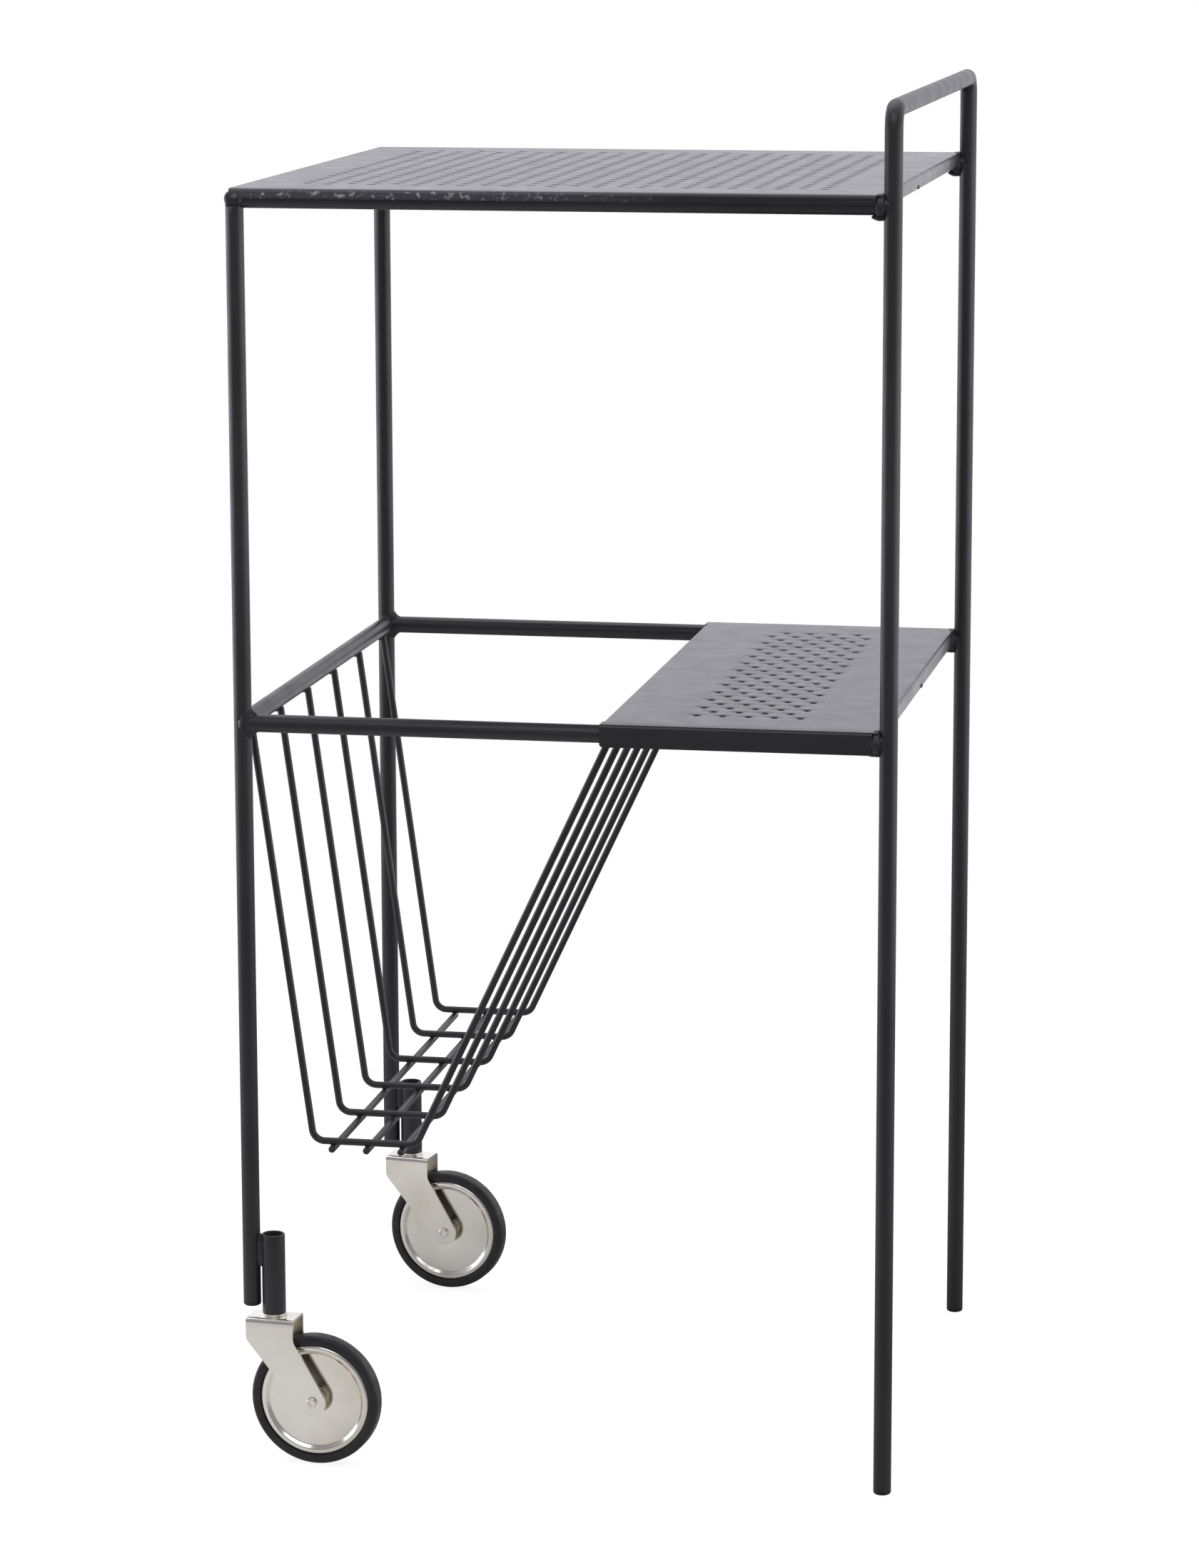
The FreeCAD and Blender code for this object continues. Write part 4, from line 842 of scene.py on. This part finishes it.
def cheek_edge(side):
    """Height and X of one edge of the cheek, from the bottom of the round end up: round the end to the
    point where a line from the shoulder touches it, then up the line, round the shoulder and up."""
    shoulder, centre = np.array((side * CHEEK_HALF, SHOULDER_Z)), np.array((TRAIL, WHEEL))
    gap = shoulder - centre
    touch = np.arctan2(gap[1], gap[0]) - side * np.arccos(HUB_END / np.hypot(*gap))
    touch = touch if side > 0 else touch - 2 * np.pi * (touch > 0)
    sweep = np.linspace(-np.pi / 2, touch, 24)[:, None]
    arc = centre + HUB_END * np.concatenate([np.cos(sweep), np.sin(sweep)], -1)
    top = (side * CHEEK_HALF, FORK_TOP)
    rest = bent_path([arc[-1], shoulder, top], SHOULDER_ROUND, 10)[0]
    line = np.concatenate([arc, rest[1:]])
    return line[:, 1], line[:, 0]


print("Cheek of", 2 * CHEEK_HALF, "mm that narrows to", 2 * HUB_END, "mm")

# %% The pressed fork
def pressed_fork(row, spot):
    """Strip of the fork: at each height the points lie between the two edges, and the strip follows the
    folded section, up one cheek, over the top and down the other."""
    low = WHEEL - HUB_END * np.cos(np.linspace(0, np.pi, 14))
    cheek = np.concatenate([low, np.linspace(low[-1], CURVE_LOW, 6)[1:],
                            np.linspace(CURVE_LOW, CURVE_HIGH, 14)[1:]])
    section = bent_path([(-FORK_SIDE, cheek[-1]), (-FORK_SIDE, FORK_TOP), (FORK_SIDE, FORK_TOP),
                         (FORK_SIDE, cheek[-1])], FORK_BEND, 8)[0]
    flat_side = np.full(len(cheek) - 1, FORK_SIDE)
    across = np.concatenate([-flat_side, section[:, 0], flat_side])
    height = np.concatenate([cheek[:-1], section[:, 1], cheek[-2::-1]])
    low_x, high_x = [np.interp(height, *cheek_edge(side))[:, None] for side in (-1, 1)]
    share = np.linspace(0, 1, 17)[None, :]
    x = low_x * (1 - share) + high_x * share
    y, z = np.broadcast_to(across[:, None], x.shape), np.broadcast_to(height[:, None], x.shape)
    turn = YAW[row]
    return surface(np.stack([spot[0] + x * np.cos(turn) - y * np.sin(turn),
                             spot[1] + x * np.sin(turn) + y * np.cos(turn), z], -1))


for row, row_y in ROWS:
    make_piece(f"{row}_pressed_fork", f"{row}_caster", plating, [pressed_fork(row, (SOCKET_X, row_y))],
               [f"{row}_fork"], FORK_SHEET)

# %% [markdown]
# ## Wheels and axles
# A wheel is two pressed discs with a rolled rim, a rubber tyre held between them and a hub sleeve. All
# are turned about the axle. The nut is turned too, with a radius that follows a hexagon and a chamfer on
# its corners.

# %% Profiles of the wheel
RIM, RIM_FACE, RIM_EDGE, WEB_FACE, DISC_SHEET, DISC_BORE = 32.25, 5.0, 4.1, 3.3, 1.0, 4.55
STEP_IN, STEP_OUT, CREST_IN, CREST_OUT = 27.05, 28.65, 29.0, 30.9
disc_profile = rounded_loop([
    (DISC_BORE, WEB_FACE - DISC_SHEET), (STEP_IN, WEB_FACE - DISC_SHEET), (STEP_OUT, RIM_FACE - DISC_SHEET),
    (RIM, RIM_FACE - DISC_SHEET), (RIM, RIM_EDGE), (CREST_OUT, RIM_FACE), (CREST_IN, RIM_FACE),
    (STEP_IN, WEB_FACE), (DISC_BORE, WEB_FACE),
], [0.2, 0.8, 0.8, 0.05, 0.1, 1.2, 1.2, 1.2, 0.3])
TREAD, TONGUE, TONGUE_IN, TYRE_SEAT = 5.5, 3.9, 28.85, RIM + 0.1
tyre_profile = rounded_loop([
    (TONGUE_IN, -TONGUE), (TYRE_SEAT, -TONGUE), (TYRE_SEAT, -TREAD), (WHEEL, -TREAD), (WHEEL, TREAD),
    (TYRE_SEAT, TREAD), (TYRE_SEAT, TONGUE), (TONGUE_IN, TONGUE)], [0.3, 0.2, 0.5, 2.6, 2.6, 0.5, 0.2, 0.3])
HUB, HUB_BORE, HUB_HALF = 4.5, 2.05, 7.7
hub_profile = ring_profile(HUB_BORE, HUB, -HUB_HALF, HUB_HALF, 0.3)
BOLT, BOLT_END, HEAD, HEAD_HIGH, KEY, KEY_FLOOR = 2.0, 13.9, 3.0, 2.0, 1.45, 0.9
head_top, key_floor = -FORK_SIDE - HEAD_HIGH, -FORK_SIDE - KEY_FLOOR
bolt_profile = bent_path([(0, key_floor), (KEY, key_floor), (KEY, head_top), (HEAD, head_top),
                          (HEAD, -FORK_SIDE), (BOLT, -FORK_SIDE), (BOLT, BOLT_END), (0, BOLT_END)],
                         [0.2, 0.25, 0.7, 0.1, 0.1, 0.5], 6)[0]
print("Wheel of", 2 * WHEEL, "mm, tread", 2 * TREAD, "mm")

# %% The nut and the lathe lines of a disc
NUT_FLAT, NUT_HIGH, NUT_BORE, NUT_STEPS = 3.5, 3.2, 2.05, 72
CHAMFER, CHAMFER_SLOPE, CHAMFER_START = 0.6, 1.1, 0.05


def hexagon_nut(spot, axis, start):
    """Nut turned with a radius that is the flat's distance over cos of the angle from the flat's middle,
    cut by a chamfer cone at both faces."""
    t = round_angles(NUT_STEPS)[None, :]
    hexagon = NUT_FLAT / np.cos((t % (np.pi / 3)) - np.pi / 6)
    rise = np.array([0, 0, CHAMFER / 2, CHAMFER])
    height = np.concatenate([rise, NUT_HIGH - rise[::-1]])[:, None]
    edge = np.minimum(height, NUT_HIGH - height)
    radius = np.minimum(hexagon, NUT_FLAT + CHAMFER_START + CHAMFER_SLOPE * edge)
    radius[[0, -1]] = NUT_BORE
    over = np.cross(axis, start)
    points = (spot + (height * np.ones_like(t))[..., None] * axis
              + radius[..., None] * (np.cos(t)[..., None] * start + np.sin(t)[..., None] * over))
    return surface(points, around=True, closed=True)


def lay_spin(piece, centre, axis, start):
    """UV map of a disc: U is the angle round the axle as a share of a turn, V the distance from it. A
    face across the seam has its low angles raised by a whole turn."""
    mesh = piece.data
    places, corners = np.empty(3 * len(mesh.vertices)), np.empty(len(mesh.loops), int)
    mesh.vertices.foreach_get("co", places)
    mesh.loops.foreach_get("vertex_index", corners)
    arm = places.reshape(-1, 3)[corners] / MM - centre
    ahead_part, over_part = arm @ start, arm @ np.cross(axis, start)
    share = (np.arctan2(over_part, ahead_part) / (2 * np.pi) % 1).reshape(-1, 4)
    share = share + (share.max(1, keepdims=True) - share > 0.5)
    spin = np.stack([share.ravel(), np.hypot(ahead_part, over_part) / WHEEL], -1)
    mesh.uv_layers.new(name="spin").uv.foreach_set("vector", spin.astype(np.float32).ravel())


print("Nut of", 2 * NUT_FLAT, "mm across its flats")

# %% The wheels
for row, row_y in ROWS:
    turn = YAW[row]
    ahead, axle = np.array((np.cos(turn), np.sin(turn), 0)), np.array((-np.sin(turn), np.cos(turn), 0))
    middle = np.array((SOCKET_X, row_y, WHEEL)) + TRAIL * ahead
    caster, wheel = f"{row}_caster", f"{row}_wheel"
    tyre = turned(tyre_profile, middle, axle, ahead, count=128)
    make_piece(f"{row}_rubber_tyre", wheel, rubber, [tyre], [f"{row}_tyre"])
    for face, way in (("outer", -1), ("inner", 1)):
        pressed = turned(disc_profile, middle, way * axle, ahead, count=128)
        lay_spin(make_piece(f"{row}_{face}_pressed_disc", wheel, spun_plating, [pressed],
                            [f"{row}_wheel_{face}_disc"]), middle, axle, ahead)
    hub = turned(hub_profile, middle, axle, ahead)
    bolt = turned(bolt_profile, middle, axle, ahead, count=40)
    nut = hexagon_nut(middle + FORK_SIDE * axle, axle, ahead)
    make_piece(f"{row}_hub_sleeve", wheel, plating, [hub], [f"{row}_wheel_hub"])
    make_piece(f"{row}_bolt", caster, plating, [bolt], [f"{row}_axle_bolt"])
    make_piece(f"{row}_nut", caster, plating, [nut], [f"{row}_axle_nut"])

# %% [markdown]
# ## Floor, light and camera
# The set is a plain white one. The floor is a pale sheet that keeps the soft shadow, and a patch of it
# beside the casters glows, unseen by the camera, only in reflections: a painted reflection in the casters'
# plating. The world is white for the camera, and for the light it is a soft studio: bright behind and dim
# where the camera stands, so that the dark tubes keep dark middles and pale edges. One softbox hangs above,
# one in front for the upper sides of the rails, and two low ones stand at the sides, below the plate, so
# that they edge the legs and leave no glare on the plate. The camera was fitted to the tubes of the
# photograph.

# %% Floor
FLOOR_HALF, FLOOR_TONE, CAMERA_FLOOR = 1200.0, 0.26, 0.86
# Painted reflection: round this spot the floor glows for glossy rays only, so the casters' plating reflects
# a bright patch
REFLECTION_PATCH_SPOT, REFLECTION_PATCH_NEAR, REFLECTION_PATCH_FAR, REFLECTION_PATCH_GLOW = (-0.42, -0.26, 0), 0.24, 0.72, 0.45
floor_mesh = bpy.data.meshes.new("floor")
floor_lines = np.linspace(-FLOOR_HALF, FLOOR_HALF, 3)
floor_points, floor_quads = flat_patch(floor_lines, floor_lines)
floor_mesh.from_pydata((floor_points * MM).tolist(), [], floor_quads[:, ::-1].tolist())
floor = placed("floor", floor_mesh)
pale = bpy.data.materials.new("pale_floor")
pale.use_nodes = True
tree = pale.node_tree
tree.nodes.remove(tree.nodes["Principled BSDF"])
ray = tree.nodes.new("ShaderNodeLightPath")
away = node(tree, "ShaderNodeVectorMath", {"operation": "DISTANCE"},
            _0=tree.nodes.new("ShaderNodeTexCoord").outputs["Object"], _1=REFLECTION_PATCH_SPOT)
painted_reflection_patch = between(tree, away.outputs["Value"], REFLECTION_PATCH_NEAR, REFLECTION_PATCH_FAR, REFLECTION_PATCH_GLOW, 0.0)
# painted reflection: the patch's glow reaches glossy rays only, never the camera
painted_reflection_glow = times(tree, ray.outputs["Is Glossy Ray"], painted_reflection_patch)
strength = node(tree, "ShaderNodeMath", {"operation": "MULTIPLY_ADD"}, _0=ray.outputs["Is Camera Ray"],
                _1=CAMERA_FLOOR, _2=painted_reflection_glow)
glow = node(tree, "ShaderNodeEmission", Strength=strength.outputs[0])
lit = node(tree, "ShaderNodeBsdfDiffuse", Color=(FLOOR_TONE, FLOOR_TONE, FLOOR_TONE, 1))
both = node(tree, "ShaderNodeAddShader", _0=glow.outputs[0], _1=lit.outputs[0])
tree.links.new(both.outputs[0], tree.nodes["Material Output"].inputs["Surface"])
floor_mesh.materials.append(pale)
print("Floor of", 2 * FLOOR_HALF * MM, "m")

# %% World
world = bpy.data.worlds.new("studio")
bpy.context.scene.world = world
world.use_nodes = True
tree = world.node_tree
tree.nodes.remove(tree.nodes["Background"])
sky_way = tree.nodes.new("ShaderNodeTexCoord").outputs["Generated"]
depth = between(tree, node(tree, "ShaderNodeSeparateXYZ", Vector=sky_way).outputs["Y"], -1, 1)
studio = node(tree, "ShaderNodeValToRGB", Fac=depth)
ramp = studio.color_ramp
SKY_BLUE = 1.08
STUDIO_TONES = ((0.0, 0.24), (0.30, 0.30), (0.55, 0.70), (0.8, 1.0))
ramp.elements[0].position, ramp.elements[1].position = STUDIO_TONES[0][0], STUDIO_TONES[-1][0]
for position, tone in STUDIO_TONES[1:-1]:
    ramp.elements.new(position)
for element, (position, tone) in zip(ramp.elements, STUDIO_TONES):
    element.color = (tone, tone, tone * SKY_BLUE, 1)
soft = node(tree, "ShaderNodeBackground", Color=studio.outputs["Color"], Strength=1.0)
white = node(tree, "ShaderNodeBackground", Color=(1, 1, 1, 1), Strength=1.0)
ray = tree.nodes.new("ShaderNodeLightPath")
seen = node(tree, "ShaderNodeMath", {"operation": "MAXIMUM"}, _0=ray.outputs["Is Camera Ray"],
            _1=ray.outputs["Is Transmission Ray"])
choice = node(tree, "ShaderNodeMixShader", _0=seen.outputs[0], _1=soft.outputs[0], _2=white.outputs[0])
tree.links.new(choice.outputs[0], tree.nodes["World Output"].inputs["Surface"])
print("World tones:", STUDIO_TONES)

# %% Lamps and camera
LAMPS = {"top_softbox": ((-0.3, 0.5, 2.7), (-12, -6, 0), 2.4, 1.6, 17),
         "front_softbox": ((0.2, -1.7, 2.2), (42, 0, 0), 2.0, 1.2, 12),
         "left_softbox": ((-1.7, -0.1, 0.42), (90, 0, -90), 2.0, 0.6, 8),
         "right_softbox": ((1.7, -0.1, 0.42), (90, 0, 90), 2.0, 0.6, 6)}
LAMP_COLOUR = (0.88, 0.87, 1.0)
for name, (spot, turn, width, height, power) in LAMPS.items():
    lamp = placed(name, bpy.data.lights.new(name, "AREA"))
    lamp.data.shape, lamp.data.size, lamp.data.size_y, lamp.data.energy = "RECTANGLE", width, height, power
    lamp.data.color = LAMP_COLOUR
    lamp.location, lamp.rotation_euler = spot, np.radians(turn)
    lamp.visible_camera = False
CAMERA_SPOT, CAMERA_TURN = (0.51009, -2.76261, 0.90755), (79.0297, 0.1456, 10.6773)
LENS, SENSOR = 112.507, 36.0
camera = placed("camera", bpy.data.cameras.new("camera"))
camera.location, camera.rotation_euler = CAMERA_SPOT, np.radians(CAMERA_TURN)
camera.data.lens, camera.data.sensor_width = LENS, SENSOR
bpy.context.scene.camera = camera
bpy.context.scene.view_settings.view_transform = "Standard"
print("Camera at", list(camera.location), "and lamps", list(LAMPS))
